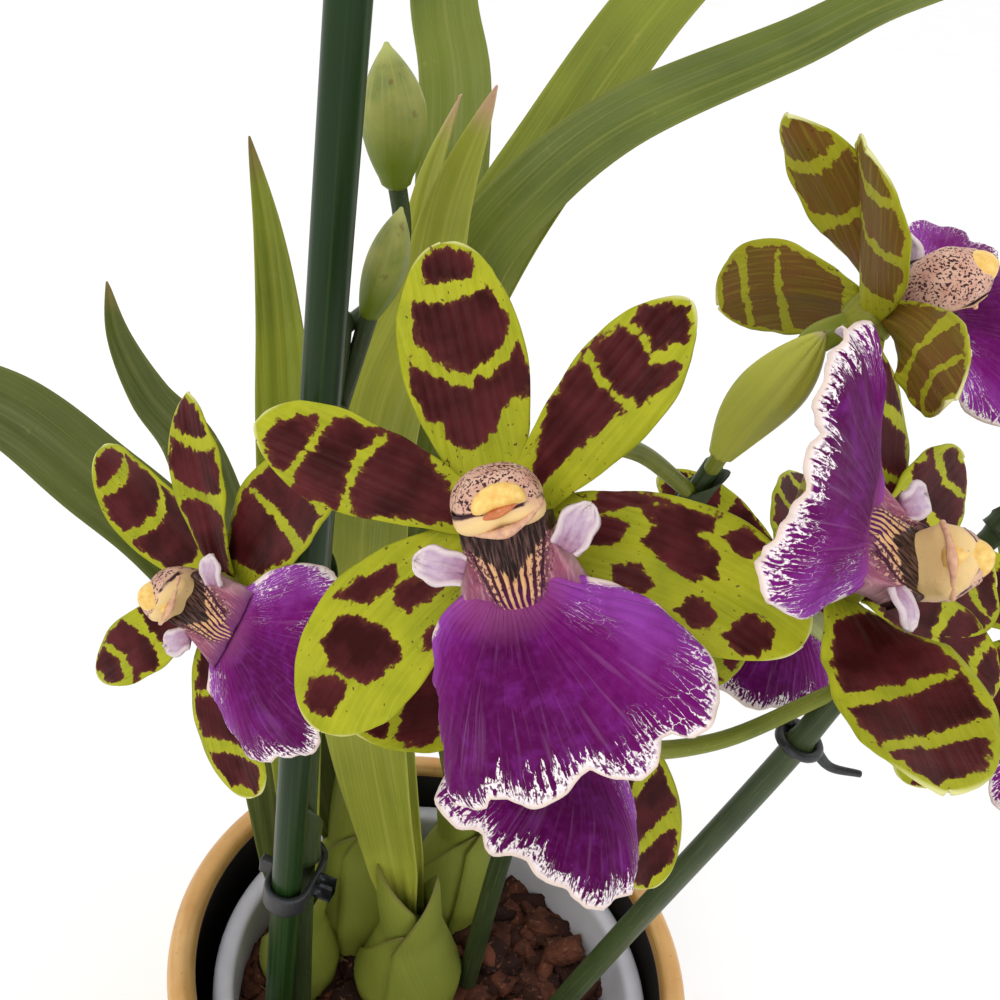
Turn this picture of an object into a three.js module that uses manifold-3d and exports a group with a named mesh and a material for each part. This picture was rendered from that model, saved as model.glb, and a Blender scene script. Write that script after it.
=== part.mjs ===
// A zygopetalum orchid in flower, in a nursery pot of bark that stands in a round cachepot.
// Millimetres, +Z up, origin at the centre of the cachepot's flat bottom.

import * as THREE from 'three';
import { mergeVertices } from 'three/addons/utils/BufferGeometryUtils.js';
import Module from 'manifold-3d';

const wasm = await Module();
wasm.setup();

// ---- driving dimensions ----

const gap = 0.3;                 // clearance between pieces that touch

const outerPot = { height: 130, rimRadius: 70, baseRadius: 52, wall: 3.4, rimWidth: 7, floor: 4, sides: 32 };
const nurseryPot = { x: 2, bottom: 4.3, top: 117, rimRadius: 60, baseRadius: 43, wall: 1.8, rimWidth: 5.5,
  rimDrop: 3, holeRadius: 4, holeRing: 28, holes: 6, sides: 32 };
const bark = { top: 98, lump: 3.2, rings: 5, sides: 20 };

const sepal = { width: 18, base: 0.42, widest: 0.56, blunt: 0.5, thick: 0.9, set: -0.9 };
const petal = { width: 13.5, base: 0.42, widest: 0.62, blunt: 0.6, thick: 0.8, set: 0.6 };
const leafOutline = { base: 0.4, widest: 0.5, blunt: 0.75 };
const core = { radius: 4.4, front: 1.4, back: 3.6 };
const lip = { thick: 0.8, reach: 30, spread: 74, lobe: 46, narrow: 0.5, tilt: 36, drop: 36, y: -6.6, z: 5.4 };
const claw = { radius: 1.2, points: [[0, -2.9, 1.9], [0, -3.3, 4.2], [0, -4.8, 7], [0, -6.2, 9.4]] };
const callus = { width: 10, length: 8, thick: 3, y: -5, z: 9.6 };
const column = { length: 15, width: 11.5, depth: 8, hood: 0.62 };
const antherCap = { width: 5.4, depth: 3.4, thick: 2.6, y: 0.2 };

// Each tepal: angle round the flower face, sideways sweep, forward rise and its change, cup, in degrees.
const tepals = {
  dorsal_sepal: { ...sepal, length: 35.5, angle: 89, sweep: 1, rise: 2, curl: -4, cup: 36 },
  petal_right: { ...petal, length: 34.5, angle: 35, sweep: 3, rise: 14, curl: -16, cup: 26 },
  petal_left: { ...petal, length: 32.5, angle: 143, sweep: 2, rise: 12, curl: -14, cup: 26 },
  lateral_sepal_right: { ...sepal, width: 19, length: 39, angle: -18, sweep: -36, rise: 2, curl: -8, cup: 24 },
  lateral_sepal_left: { ...sepal, width: 19, length: 36, angle: 201, sweep: 30, rise: -1, curl: -6, cup: 24 },
};

// Flower centres, the compass heading and elevation that each faces, its roll and its size; how tightly the
// lip's left and right sides roll back, per mm; its own lip tilt and turn; and how far a tepal is turned
// round the face, lifted forward and twisted from its usual place, in degrees.
const flowers = {
  a: { at: [-10, -62.6, 308.3], heading: -11, pitch: 29, roll: -32, size: 1, rolled: [0.036, 0.006] },
  b: { at: [8.9, -40.3, 260.2], heading: 26, pitch: 57, roll: 23, size: 1, rolled: [0.01, 0.03],
    lipTilt: 44, moved: { lateral_sepal_left: [-14, 4], lateral_sepal_right: [-1, -27] } },
  c: { at: [-54.7, -36.3, 263.9], heading: -34, pitch: 18, roll: -82, size: 0.92, rolled: [0.01, 0.01],
    lipTilt: 14,
    moved: { dorsal_sepal: [-8, 14], petal_left: [12, 5], petal_right: [0, 7],
      lateral_sepal_left: [7, 2], lateral_sepal_right: [14, 11] } },
  d: { at: [36.5, -62.8, 314.1], heading: 59, pitch: 40, roll: 121, size: 0.95, rolled: [0.003, 0.019],
    lipTilt: 37, lipTurn: -24,
    moved: { dorsal_sepal: [5, 10], petal_left: [-16, 5], petal_right: [34, 2],
      lateral_sepal_left: [-50, 7], lateral_sepal_right: [-1, 34, 60] } },
  e: { at: [37.6, -25.3, 336.6], heading: 98, pitch: 37, roll: -38, size: 0.95, rolled: [0.01, 0.01],
    lipTilt: 72,
    moved: { dorsal_sepal: [-7, 5], petal_left: [-9, -5, -45], petal_right: [25, -13, 45],
      lateral_sepal_left: [10, -36], lateral_sepal_right: [-12, -28] } },
  f: { at: [85.9, -38.7, 297.4], heading: 0, pitch: 32, roll: -18, size: 0.92, rolled: [0.01, 0.01],
    moved: { petal_left: [5, -20], dorsal_sepal: [-4, -18] } },
  g: { at: [52.3, 13, 264], heading: 4, pitch: 48, roll: 16, size: 0.92, rolled: [0.02, 0.02],
    moved: { petal_left: [24, -6], dorsal_sepal: [-1, -34] } },
};

const stake = { radius: 3.5, points: [[-34, -22, 62], [-50, -23, 404]] };

// Flower spikes: centre line, then the radius at the bottom and at the top.
const spikes = {
  spike_1: { radii: [3, 1.8], points: [[-31, -12, 88], [-38, -13.6, 180], [-43.5, -14.4, 270], [-44.8, -13.8, 311]] },
  spike_2: { radii: [3, 1.7], points: [[24, -9, 86], [40, -17, 170], [54.7, -25, 246], [59, -24.5, 264],
    [67, -20, 284], [75.5, -15.5, 300], [86, -13, 320]] },
  spike_3: { radii: [3, 1.9], points: [[12, 12, 88], [11, 6, 180], [16, -4, 250], [25.5, -9, 297]] },
};

// Flower stalks: the spike, the place along it, and points on the way to the flower's back.
const pedicels = {
  a: { spike: 'spike_3', place: 0.95, points: [[9, -24, 304], [-2, -40, 310]] },
  b: { spike: 'spike_2', place: 0.5, points: [[39, -30, 250.4], [21, -36, 249]] },
  c: { spike: 'spike_1', place: 0.7, points: [[-48.5, -14, 253], [-49.4, -22, 257]] },
  d: { spike: 'spike_2', place: 0.62, points: [[56, -31, 280], [43, -45, 292]] },
  e: { spike: 'spike_3', place: 1, points: [[26.2, -12.6, 304], [28.6, -17.6, 314], [30, -22.6, 324]] },
  f: { spike: 'spike_2', place: 0.84, points: [[83, -15, 292]] },
  g: { spike: 'spike_3', place: 0.6, points: [[21, 9, 240], [35, 21, 248]] },
};
const stalkRadius = [1.5, 2.2];

const buds = {
  bud_1: { spike: 'spike_1', place: 0.98, stalk: [[-40, 0, 312], [-39, 2, 321], [-41.8, 1, 333]],
    tip: [-46.5, 2, 353], radius: 5.9 },
  bud_2: { spike: 'spike_1', place: 0.84, stalk: [[-40.4, -12.4, 313]], tip: [-38, -11, 331], radius: 3.8 },
};

const bract = { width: 11, thick: 0.8,
  points: [[24.6, -17.2, 302.5], [26, -22.6, 313], [28, -26.8, 323], [30.2, -29.8, 333.8]] };

const clips = {
  clip_1: { at: [-38.7, -22.3, 168], toward: [-37.1, -13.4, 168] },
  clip_2: { at: [-44.2, -22.6, 286], toward: [-44.4, -14.1, 286] },
};
const clipSize = { inner: 4, wall: 1.6, height: 6 };
const nodeClip = { spike: 'spike_2', place: 0.37, thick: 1.2, tip: 0.7,
  arm: [[3.6, 0, 0], [8, -0.6, -2], [14, -0.6, -0.8]] };

const pseudobulbs = {
  pseudobulb_1: { at: [-24, 22], base: 92, height: 44, radius: 13, lean: [-6, 4] },
  pseudobulb_2: { at: [-2, 34], base: 92, height: 38, radius: 11, lean: [2, 6] },
  pseudobulb_3: { at: [-5, 6], base: 90, height: 40, radius: 12, lean: [-4, -2] },
  pseudobulb_4: { at: [-36, 4], base: 92, height: 30, radius: 8, lean: [-4, 0] },
};

// Leaves: centre line from the pseudobulb to the tip, blade width, and the way the blade faces.
const leaves = {
  leaf_1: { width: 21, face: [[0.3, -0.9, 0.4], [0.2, -0.8, 0.6]],
    points: [[-35.6, 24.1, 135.3], [-56, 30, 182], [-91, 36, 216], [-111, 38, 228], [-138, 42, 240], [-168, 44, 238],
      [-196, 46, 212]] },
  leaf_2: { width: 17, face: [[0.3, -0.9, 0.3], [0.3, -0.9, 0.3]],
    points: [[-43.4, 5.7, 121.7], [-62, 20, 190], [-86, 34, 246], [-98, 37, 256], [-107, 40, 268], [-111, 42, 280]] },
  leaf_3: { width: 15, face: [[0.2, -1, 0], [0.3, -1, 0.2]],
    points: [[-37.7, 6.1, 122.7], [-51, 14, 200], [-58, 16, 256], [-61, 17, 274], [-64, 18, 292], [-68, 18, 311],
      [-73, 18, 328]] },
  leaf_4: { width: 17, face: [[-0.2, -1, 0.1], [0, -0.6, 1]],
    points: [[0, 42, 131], [-26, 54, 230], [-38, 64, 310], [-43, 74, 334], [-50, 84, 349], [-60, 112, 392],
      [-74, 160, 420]] },
  leaf_5: { width: 22, face: [[0, -1, 0.1], [-0.3, -1, 0.1]],
    points: [[-9.9, 4.1, 130.7], [-32, 1, 215], [-38, 3, 259], [-38, 5, 287], [-33, 7, 309], [-32, 9, 328],
      [-28, 10, 349]] },
  leaf_6: { width: 21, face: [[0, -1, 0.2], [-0.6, -0.5, 1]],
    points: [[-29.3, 30.1, 136.2], [-37, 40, 210], [-33, 46, 270], [-25, 49, 306], [-17, 52, 327], [-1, 56, 363],
      [28, 60, 402], [76, 66, 422]] },
  leaf_7: { width: 15, face: [[0, -1, 0.2], [-0.6, -0.3, 1]],
    points: [[-25.3, 22.5, 137.2], [-31, 21, 200], [-30, 24, 259], [-27, 31, 308], [-18, 36, 325], [-5, 40, 340],
      [25, 44, 361], [41, 46, 373], [84, 52, 390], [140, 60, 384]] },
  leaf_8: { width: 15, face: [[0, -1, 0.1], [-0.3, -1, 0.1]],
    points: [[-7.8, 9.3, 130.7], [-30, 12, 215], [-42, 15, 275], [-38, 19, 302], [-38, 20, 327], [-35, 19, 344]] },
  leaf_9: { width: 15, face: [[0, -1, 0.2], [0, -1, 0.6]],
    points: [[2.9, 37, 130.6], [9, 40, 150], [17, 47, 166], [28, 54, 174]] },
};

// ---- solids from warped grids ----

const deg = Math.PI / 180;
const vec = (p) => new THREE.Vector3(...p);

function warp(geometry, place) {
  const at = geometry.attributes.position;
  for (let i = 0; i < at.count; i += 1) {
    const p = place(at.getX(i), at.getY(i), at.getZ(i));
    at.setXYZ(i, p.x, p.y, p.z);
  }
  return mergeVertices(stripped(geometry), 1e-4);
}

function stripped(geometry) {
  geometry.deleteAttribute('normal');
  geometry.deleteAttribute('uv');
  return geometry;
}

// A thin closed sheet: rows from base to tip, cols across; surface(row, v) gives a point and a normal.
function sheet(rows, cols, thick, surface) {
  return warp(new THREE.BoxGeometry(1, 1, 1, cols, rows, 1), (x, y, z) => {
    const { point, normal } = surface(Math.round((y + 0.5) * rows), x * 2);
    return point.clone().addScaledVector(normal, z * thick);
  });
}

// A closed tube of changing radius round a curve.
function tube(curve, radiusAt, steps, sides) {
  const reach = curve.getPoint(1).sub(curve.getPoint(0));
  const spare = Math.abs(reach.z) > 0.8 * reach.length() ? vec([0, 1, 0]) : vec([0, 0, 1]);
  return warp(new THREE.CylinderGeometry(1, 1, 1, sides, steps), (x, y, z) => {
    const t = y + 0.5;
    const along = curve.getTangent(t);
    const side = spare.clone().cross(along).normalize();
    const front = side.clone().cross(along);
    const radius = radiusAt(t);
    return curve.getPoint(t).addScaledVector(side, x * radius).addScaledVector(front, z * radius);
  });
}

function spline(points) {
  return new THREE.CatmullRomCurve3(points.map(vec), false, 'centripetal');
}

function facing(heading, pitch) {
  const level = new THREE.Vector3(0, -Math.cos(pitch * deg), Math.sin(pitch * deg));
  return level.applyAxisAngle(vec([0, 0, 1]), heading * deg);
}

function manifoldOf(geometry) {
  return new wasm.Manifold(new wasm.Mesh({
    numProp: 3,
    vertProperties: new Float32Array(geometry.attributes.position.array),
    triVerts: new Uint32Array(geometry.index.array),
  }));
}

function geometryOf(manifold) {
  const mesh = manifold.getMesh();
  const geometry = new THREE.BufferGeometry();
  geometry.setAttribute('position', new THREE.BufferAttribute(new Float32Array(mesh.vertProperties), 3));
  geometry.setIndex(new THREE.BufferAttribute(new Uint32Array(mesh.triVerts), 1));
  return geometry;
}

function join(geometries) {
  return geometryOf(geometries.map(manifoldOf).reduce((all, next) => all.add(next)));
}

function cut(geometry, tools) {
  return geometryOf(tools.map(manifoldOf).reduce((rest, tool) => rest.subtract(tool), manifoldOf(geometry)));
}

// ---- flower parts, in the flower's own frame: x to its side, y to the dorsal sepal, z forward ----

// Half width along a tepal as a part of the widest: base, widest place, then a blunt tip.
function outline(u, { base, widest, blunt }) {
  if (u < widest) return base + (1 - base) * Math.sin((Math.PI / 2) * (u / widest));
  return Math.max(0.05, Math.cos((Math.PI / 2) * ((u - widest) / (1 - widest))) ** blunt);
}

function tepal(shape, rows, cols, rootedBy = 0) {
  const frames = [];
  const at = new THREE.Vector3();
  for (let i = 0; i <= rows; i += 1) {
    const u = i / rows;
    const turn = (shape.angle + shape.sweep * u) * deg;
    const lift = (shape.rise + shape.curl * u) * deg;
    const out = new THREE.Vector3(Math.cos(turn), Math.sin(turn), 0);
    const along = out.clone().multiplyScalar(Math.cos(lift)).setZ(Math.sin(lift));
    const normal = out.clone().multiplyScalar(-Math.sin(lift)).setZ(Math.cos(lift))
      .applyAxisAngle(along, (shape.twist ?? 0) * Math.min(1, 3 * u) * deg);
    if (i === 0) at.copy(out).multiplyScalar(core.radius + gap - rootedBy).setZ(shape.set);
    else at.addScaledVector(along, (shape.length + rootedBy) / rows);
    frames.push({ at: at.clone(), normal, side: along.clone().cross(normal), half: outline(u, shape) * shape.width / 2 });
  }
  return sheet(rows, cols, shape.thick, (row, v) => {
    const { at: middle, normal, side, half } = frames[row];
    const bend = shape.cup * deg * v;
    const radius = half / (shape.cup * deg);
    return {
      point: middle.clone().addScaledVector(side, Math.sin(bend) * radius)
        .addScaledVector(normal, (1 - Math.cos(bend)) * radius),
      normal: normal.clone().multiplyScalar(Math.cos(bend)).addScaledVector(side, -Math.sin(bend)),
    };
  });
}

// The lip's blade is a fan about the column's foot, bent down along its middle and back at its sides.
function lipBlade(rows, cols, { rolled, lipTilt = lip.tilt }) {
  return sheet(rows, cols, lip.thick, (row, v) => {
    const fan = v * lip.spread * deg;
    const past = Math.max(0, (Math.abs(v) * lip.spread - lip.lobe) / (lip.spread - lip.lobe));
    const edge = lip.reach * (1 - lip.narrow * past ** 1.6);
    const radius = 2.5 + (edge - 2.5) * (row / rows);
    const down = radius * Math.cos(fan);
    const across = -radius * Math.sin(fan);
    const tilt = (lipTilt - lip.drop * (down / lip.reach)) * deg;
    const chord = (lipTilt - 0.5 * lip.drop * (down / lip.reach)) * deg;
    const tightness = 2 * rolled[across < 0 ? 0 : 1];
    const bend = tightness * across;
    const back = (1 - Math.cos(bend)) / tightness;
    return {
      point: new THREE.Vector3(Math.sin(bend) / tightness, lip.y - down * Math.cos(chord) - back * Math.sin(tilt),
        lip.z + down * Math.sin(chord) - back * Math.cos(tilt)),
      normal: new THREE.Vector3(Math.sin(bend), Math.cos(bend) * Math.sin(tilt), Math.cos(bend) * Math.cos(tilt)),
    };
  });
}

function lipClaw(sides) {
  return tube(spline(claw.points), () => claw.radius, 4, sides);
}

function lipCallus(rows, cols) {
  return sheet(rows, cols, callus.thick, (row, v) => {
    const u = row / rows;
    return {
      point: new THREE.Vector3(-v * callus.width * (0.3 + 0.2 * u), callus.y - u * callus.length * 0.86,
        callus.z - 1.6 * v * v - 0.6 * u),
      normal: new THREE.Vector3(-v * 0.3, 0.4, 1).normalize(),
    };
  });
}

function columnBody(steps, sides) {
  const curve = spline([[0, 0.4, core.front + gap], [0, 1.6, 7], [0, 1.8, 12], [0, 0.4, core.front + column.length]]);
  const swell = (t) => 0.62 + 0.38 * Math.sin(Math.PI * Math.min(1, t * 1.15) * 0.62) - Math.max(0, t - 0.9) * 3.4;
  return warp(new THREE.CylinderGeometry(1, 1, 1, sides, steps), (x, y, z) => {
    const t = y + 0.5;
    const width = swell(t) * column.width / 2;
    const depth = swell(t) * (z < 0 ? 1 : column.hood) * column.depth / 2;
    return curve.getPoint(t).add(new THREE.Vector3(x * width, -z * depth, 0));
  });
}

// The anther cap sits on the column's blunt end.
function antherBody() {
  const { width, depth, thick, y } = antherCap;
  return warp(new THREE.SphereGeometry(0.5, 10, 7), (px, py, pz) => new THREE.Vector3(px * width, py * depth + y,
    pz * thick + core.front + column.length + gap + thick / 2));
}

function coreBody() {
  const body = new THREE.CylinderGeometry(core.radius, core.radius * 0.8, core.front + core.back, 12, 1);
  body.rotateX(Math.PI / 2);
  return warp(body, (x, y, z) => new THREE.Vector3(x, y, z + (core.front - core.back) / 2));
}

// ---- plant and pots ----

function leafBlade({ points, width, face }, rows, cols) {
  const curve = spline(points);
  const faces = face.map(vec);
  const half = (u) => (width / 2) * outline(u, leafOutline);
  return sheet(rows, cols, 0.9, (row, v) => {
    const u = row / rows;
    const along = curve.getTangentAt(u);
    const facing = faces[0].clone().lerp(faces[1], u);
    const normal = facing.addScaledVector(along, -facing.dot(along)).normalize();
    const side = along.clone().cross(normal);
    const lift = Math.abs(v) * half(u) * 0.32;
    return {
      point: curve.getPointAt(u).addScaledVector(side, v * half(u)).addScaledVector(normal, lift),
      normal: normal.clone().addScaledVector(side, -0.3 * Math.sign(v)).normalize(),
    };
  });
}

function pseudobulb({ at, base, height, radius, lean }, grow) {
  const curve = spline([
    [at[0], at[1], base - grow],
    [at[0] + lean[0] * 0.4, at[1] + lean[1] * 0.4, base + height * 0.5],
    [at[0] + lean[0], at[1] + lean[1], base + height + grow]]);
  const swell = (t) => 0.34 + 0.66 * Math.sin(Math.PI * Math.min(1, 0.16 + t * 0.86)) ** 0.8;
  return tube(curve, (t) => radius * swell(t) + grow, 8, 14);
}

function spikeStem({ points, radii }, grow) {
  return tube(spline(points), (t) => radii[0] + (radii[1] - radii[0]) * t + grow, points.length * 3, 8);
}

function stakeRod(grow) {
  return tube(spline(stake.points), () => stake.radius + grow, 2, 14);
}

// Where a stalk leaves its spike: on the spike's skin, or just past its end.
function stalkStart({ spike, place }, next, radius) {
  const { points, radii } = spikes[spike];
  const curve = spline(points);
  const middle = curve.getPoint(place);
  const along = curve.getTangent(place);
  const reach = vec(next).sub(middle);
  if (place === 1) return middle.addScaledVector(reach.normalize(), gap * 2);
  const out = reach.clone().addScaledVector(along, -reach.dot(along)).normalize();
  const slant = Math.sin(out.angleTo(reach));
  return middle.addScaledVector(out, radii[0] + (radii[1] - radii[0]) * place + gap + radius * slant);
}

// The far end of a stalk: straight behind its flower, up against the core.
function stalkEnd({ at, heading, pitch, size }) {
  const forward = facing(heading, pitch);
  return [9, core.back * size + gap].map((far) => vec(at).addScaledVector(forward, -far).toArray());
}

function pedicel(shape, pose) {
  const start = stalkStart(shape, shape.points[0], stalkRadius[0]).toArray();
  const curve = spline([start, ...shape.points, ...stalkEnd(pose)]);
  return tube(curve, (t) => stalkRadius[0] + (stalkRadius[1] - stalkRadius[0]) * t, 7, 8);
}

function bud(shape) {
  const start = stalkStart(shape, shape.stalk[0], stalkRadius[0]).toArray();
  const foot = vec(shape.stalk.at(-1));
  const root = foot.clone().lerp(vec(shape.tip), -0.04);
  const swell = (t) => 0.3 + 0.7 * Math.sin(Math.PI * Math.min(0.96, 0.08 + t * 0.9)) ** 0.75;
  const body = tube(new THREE.LineCurve3(root, vec(shape.tip)), (t) => shape.radius * swell(t), 7, 10);
  return join([tube(spline([start, ...shape.stalk]), () => stalkRadius[0], 4, 8), body]);
}

function bractSheet() {
  const curve = spline(bract.points);
  return sheet(6, 4, bract.thick, (row, v) => {
    const u = row / 6;
    const along = curve.getTangentAt(u);
    const normal = vec([0, 1, -0.2]).addScaledVector(along, -along.y).normalize();
    const side = along.clone().cross(normal).normalize();
    const half = (bract.width / 2) * outline(u, leafOutline);
    return {
      point: curve.getPointAt(u).addScaledVector(side, v * half).addScaledVector(normal, v * v * half * 0.5),
      normal: normal.clone().addScaledVector(side, -0.8 * v).normalize(),
    };
  });
}

// A flat oblong collar round the stake and the spike beside it.
function clip({ at, toward }) {
  const reach = vec(toward).sub(vec(at));
  const far = Math.hypot(reach.x, reach.y);
  const outline = (Shape, radius) => {
    const shape = new Shape();
    shape.absarc(0, 0, radius, Math.PI / 2, Math.PI * 1.5, false);
    shape.absarc(far, 0, radius, -Math.PI / 2, Math.PI / 2, false);
    shape.closePath();
    return shape;
  };
  const ring = outline(THREE.Shape, clipSize.inner + clipSize.wall);
  ring.holes.push(outline(THREE.Path, clipSize.inner));
  const band = new THREE.ExtrudeGeometry(ring, { depth: clipSize.height, bevelEnabled: false, curveSegments: 7 });
  band.rotateZ(Math.atan2(reach.y, reach.x));
  band.translate(at[0], at[1], at[2] - clipSize.height / 2);
  return mergeVertices(stripped(band), 1e-4);
}

// A wire ring round a spike, with one free arm.
function ringClip() {
  const { points, radii } = spikes[nodeClip.spike];
  const curve = spline(points);
  const bore = radii[0] + (radii[1] - radii[0]) * nodeClip.place + gap;
  const ring = new THREE.TorusGeometry(bore + nodeClip.thick, nodeClip.thick, 8, 14);
  const arm = tube(spline(nodeClip.arm), (t) => nodeClip.thick + (nodeClip.tip - nodeClip.thick) * t, 4, 8);
  const level = new THREE.Quaternion().setFromUnitVectors(vec([0, 0, 1]), curve.getTangent(nodeClip.place));
  const at = curve.getPoint(nodeClip.place);
  return join([mergeVertices(stripped(ring), 1e-4), arm]).applyQuaternion(level).translate(at.x, at.y, at.z);
}

function turned(profile, sides) {
  return warp(new THREE.LatheGeometry(profile.map(([r, z]) => new THREE.Vector2(r, z)), sides),
    (x, y, z) => new THREE.Vector3(x, -z, y));
}

function outerPotBody() {
  const { height, rimRadius, baseRadius, wall, rimWidth, floor, sides } = outerPot;
  const side = (z) => baseRadius + (rimRadius - 2 - baseRadius) * Math.sin((Math.PI / 2) * (z / height)) ** 0.9;
  const belly = [2, 36, 80, height - rimWidth - 1];
  const profile = [[0, 0], [side(2) - 2, 0], ...belly.map((z) => [side(z), z])];
  const bead = rimWidth / 2;
  for (let i = 0; i <= 5; i += 1) {
    const turn = (-50 + i * 46) * deg;
    profile.push([rimRadius - bead + bead * Math.cos(turn), height - bead + bead * Math.sin(turn)]);
  }
  profile.push(...belly.slice(1).reverse().map((z) => [side(z) - wall, z]));
  profile.push([side(floor + 3) - wall, floor + 3], [side(floor) - wall - 3, floor], [0, floor]);
  return turned(profile, sides);
}

function nurseryPotBody() {
  const { x, bottom, top, rimRadius, baseRadius, wall, rimWidth, rimDrop, sides } = nurseryPot;
  const { holeRadius, holeRing, holes } = nurseryPot;
  const neck = rimRadius - rimWidth + wall;
  const profile = [[0, bottom], [baseRadius - 1.5, bottom], [baseRadius, bottom + 1.5],
    [neck, top - rimDrop], [rimRadius - 0.6, top - rimDrop], [rimRadius, top - rimDrop / 2],
    [rimRadius - 0.8, top - 0.3], [rimRadius - rimWidth / 2, top],
    [neck - wall + 0.4, top - 0.8], [neck - wall, top - rimDrop],
    [baseRadius - wall, bottom + 2.4], [0, bottom + wall]];
  const drains = [];
  for (let i = 0; i < holes; i += 1) {
    const turn = (360 / holes) * i * deg;
    const drain = new THREE.CylinderGeometry(holeRadius, holeRadius, 8, 12);
    drain.rotateX(Math.PI / 2);
    drain.translate(holeRing * Math.cos(turn), holeRing * Math.sin(turn), bottom);
    drains.push(mergeVertices(stripped(drain), 1e-4));
  }
  return cut(turned(profile, sides), drains).translate(x, 0, 0);
}

function barkBed() {
  const { x, bottom, top, rimRadius, baseRadius, wall, rimWidth, rimDrop } = nurseryPot;
  const low = bottom + wall + gap + 0.8;
  const inner = (z) => {
    const t = (z - bottom - 2.4) / (top - rimDrop - bottom - 2.4);
    return baseRadius - wall + (rimRadius - rimWidth - baseRadius + wall) * t - gap - 0.3;
  };
  const profile = [[0, low], [inner(low) - 1, low], [inner(60), 60], [inner(bark.top - 3), bark.top - 3]];
  for (let i = 1; i <= bark.rings; i += 1) profile.push([inner(bark.top) * (1 - i / bark.rings), bark.top]);
  const lumpy = (px, py) => Math.sin(px * 0.42 + 1.3) * Math.cos(py * 0.37 - 0.6) + 0.6 * Math.sin((px + py) * 0.23);
  const bed = warp(turned(profile, bark.sides), (px, py, pz) => {
    const inside = Math.min(1, (inner(bark.top) - Math.hypot(px, py)) / 8);
    const raise = pz > bark.top - 0.5 ? bark.lump * lumpy(px, py) * inside : 0;
    return new THREE.Vector3(px + x, py, pz + raise);
  });
  const sunk = [
    ...Object.values(pseudobulbs).map((bulb) => pseudobulb(bulb, gap)),
    ...Object.values(spikes).map((spike) => spikeStem({ ...spike, points: spike.points.slice(0, 2) }, gap)),
    stakeRod(gap),
  ];
  return cut(bed, sunk);
}

// ---- the assembly ----

const looks = {
  gold: { color: 0xc9a06a, roughness: 0.35, metalness: 0.3 },
  greyPlastic: { color: 0xb9b8c4, roughness: 0.5, metalness: 0 },
  bark: { color: 0x4a2c22, roughness: 0.95, metalness: 0 },
  leaf: { color: 0x6e8232, roughness: 0.55, metalness: 0 },
  youngLeaf: { color: 0xaab73c, roughness: 0.55, metalness: 0 },
  bulb: { color: 0x7a9038, roughness: 0.5, metalness: 0 },
  stem: { color: 0x2f4a26, roughness: 0.5, metalness: 0 },
  stake: { color: 0x24503a, roughness: 0.35, metalness: 0 },
  tepal: { color: 0x8a5a3c, roughness: 0.55, metalness: 0 },
  lip: { color: 0x6a2a86, roughness: 0.55, metalness: 0 },
  column: { color: 0xe0b48c, roughness: 0.5, metalness: 0 },
  anther: { color: 0xf0c85a, roughness: 0.45, metalness: 0 },
  clip: { color: 0x14161a, roughness: 0.45, metalness: 0 },
};

const plant = new THREE.Group();

function mesh(name, geometry, look) {
  const piece = new THREE.Mesh(geometry, new THREE.MeshStandardMaterial(looks[look]));
  piece.name = name;
  return piece;
}

function flowerFrame({ at, heading, pitch, roll, size }) {
  const forward = facing(heading, pitch);
  const up = new THREE.Vector3(0, 0, 1).addScaledVector(forward, -forward.z).normalize();
  up.applyAxisAngle(forward, -roll * deg);
  const group = new THREE.Group();
  const frame = new THREE.Matrix4().makeBasis(up.clone().cross(forward), up, forward);
  group.quaternion.setFromRotationMatrix(frame);
  group.position.set(...at);
  group.scale.setScalar(size);
  return group;
}

// A tepal turned round the flower's face, lifted forward and twisted from its usual place.
function restood(shape, [turned, lifted, twist = 0]) {
  return { ...shape, angle: shape.angle + turned, rise: shape.rise + lifted, twist };
}

function addFlowers() {
  for (const [letter, pose] of Object.entries(flowers)) {
    const group = flowerFrame(pose);
    const main = letter === 'a';
    const shapes = Object.entries(tepals).map(([name, shape]) => (
      [name, restood(shape, pose.moved?.[name] ?? [0, 0])]));
    if (main) {
      for (const [name, shape] of shapes) group.add(mesh(`${name}_${letter}`, tepal(shape, 10, 4), 'tepal'));
      group.add(mesh(`flower_core_${letter}`, coreBody(), 'stem'));
      group.add(mesh(`anther_cap_${letter}`, antherBody(), 'anther'));
    } else {
      const blades = shapes.map(([, shape]) => tepal(shape, 4, 2, 1.2));
      group.add(mesh(`tepals_${letter}`, join([coreBody(), ...blades]), 'tepal'));
    }
    const blade = join(main ? [lipBlade(8, 12, pose), lipCallus(3, 4), lipClaw(8)]
      : [lipBlade(4, 8, pose), lipCallus(2, 2), lipClaw(6)]);
    blade.rotateZ((pose.lipTurn ?? 0) * deg);
    group.add(mesh(`lip_${letter}`, blade, 'lip'));
    group.add(mesh(`column_${letter}`, main ? columnBody(8, 12) : columnBody(5, 8), 'column'));
    plant.add(group);
  }
}

function addStems() {
  plant.add(mesh('stake_1', stakeRod(0), 'stake'));
  for (const [name, spike] of Object.entries(spikes)) plant.add(mesh(name, spikeStem(spike, 0), 'stem'));
  for (const [letter, shape] of Object.entries(pedicels)) {
    plant.add(mesh(`pedicel_${letter}`, pedicel(shape, flowers[letter]), 'stem'));
  }
  for (const [name, shape] of Object.entries(buds)) plant.add(mesh(name, bud(shape), 'leaf'));
  for (const [name, shape] of Object.entries(clips)) plant.add(mesh(name, clip(shape), 'clip'));
  plant.add(mesh('clip_3', ringClip(), 'clip'));
  plant.add(mesh('bract_e', bractSheet(), 'youngLeaf'));
}

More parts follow.
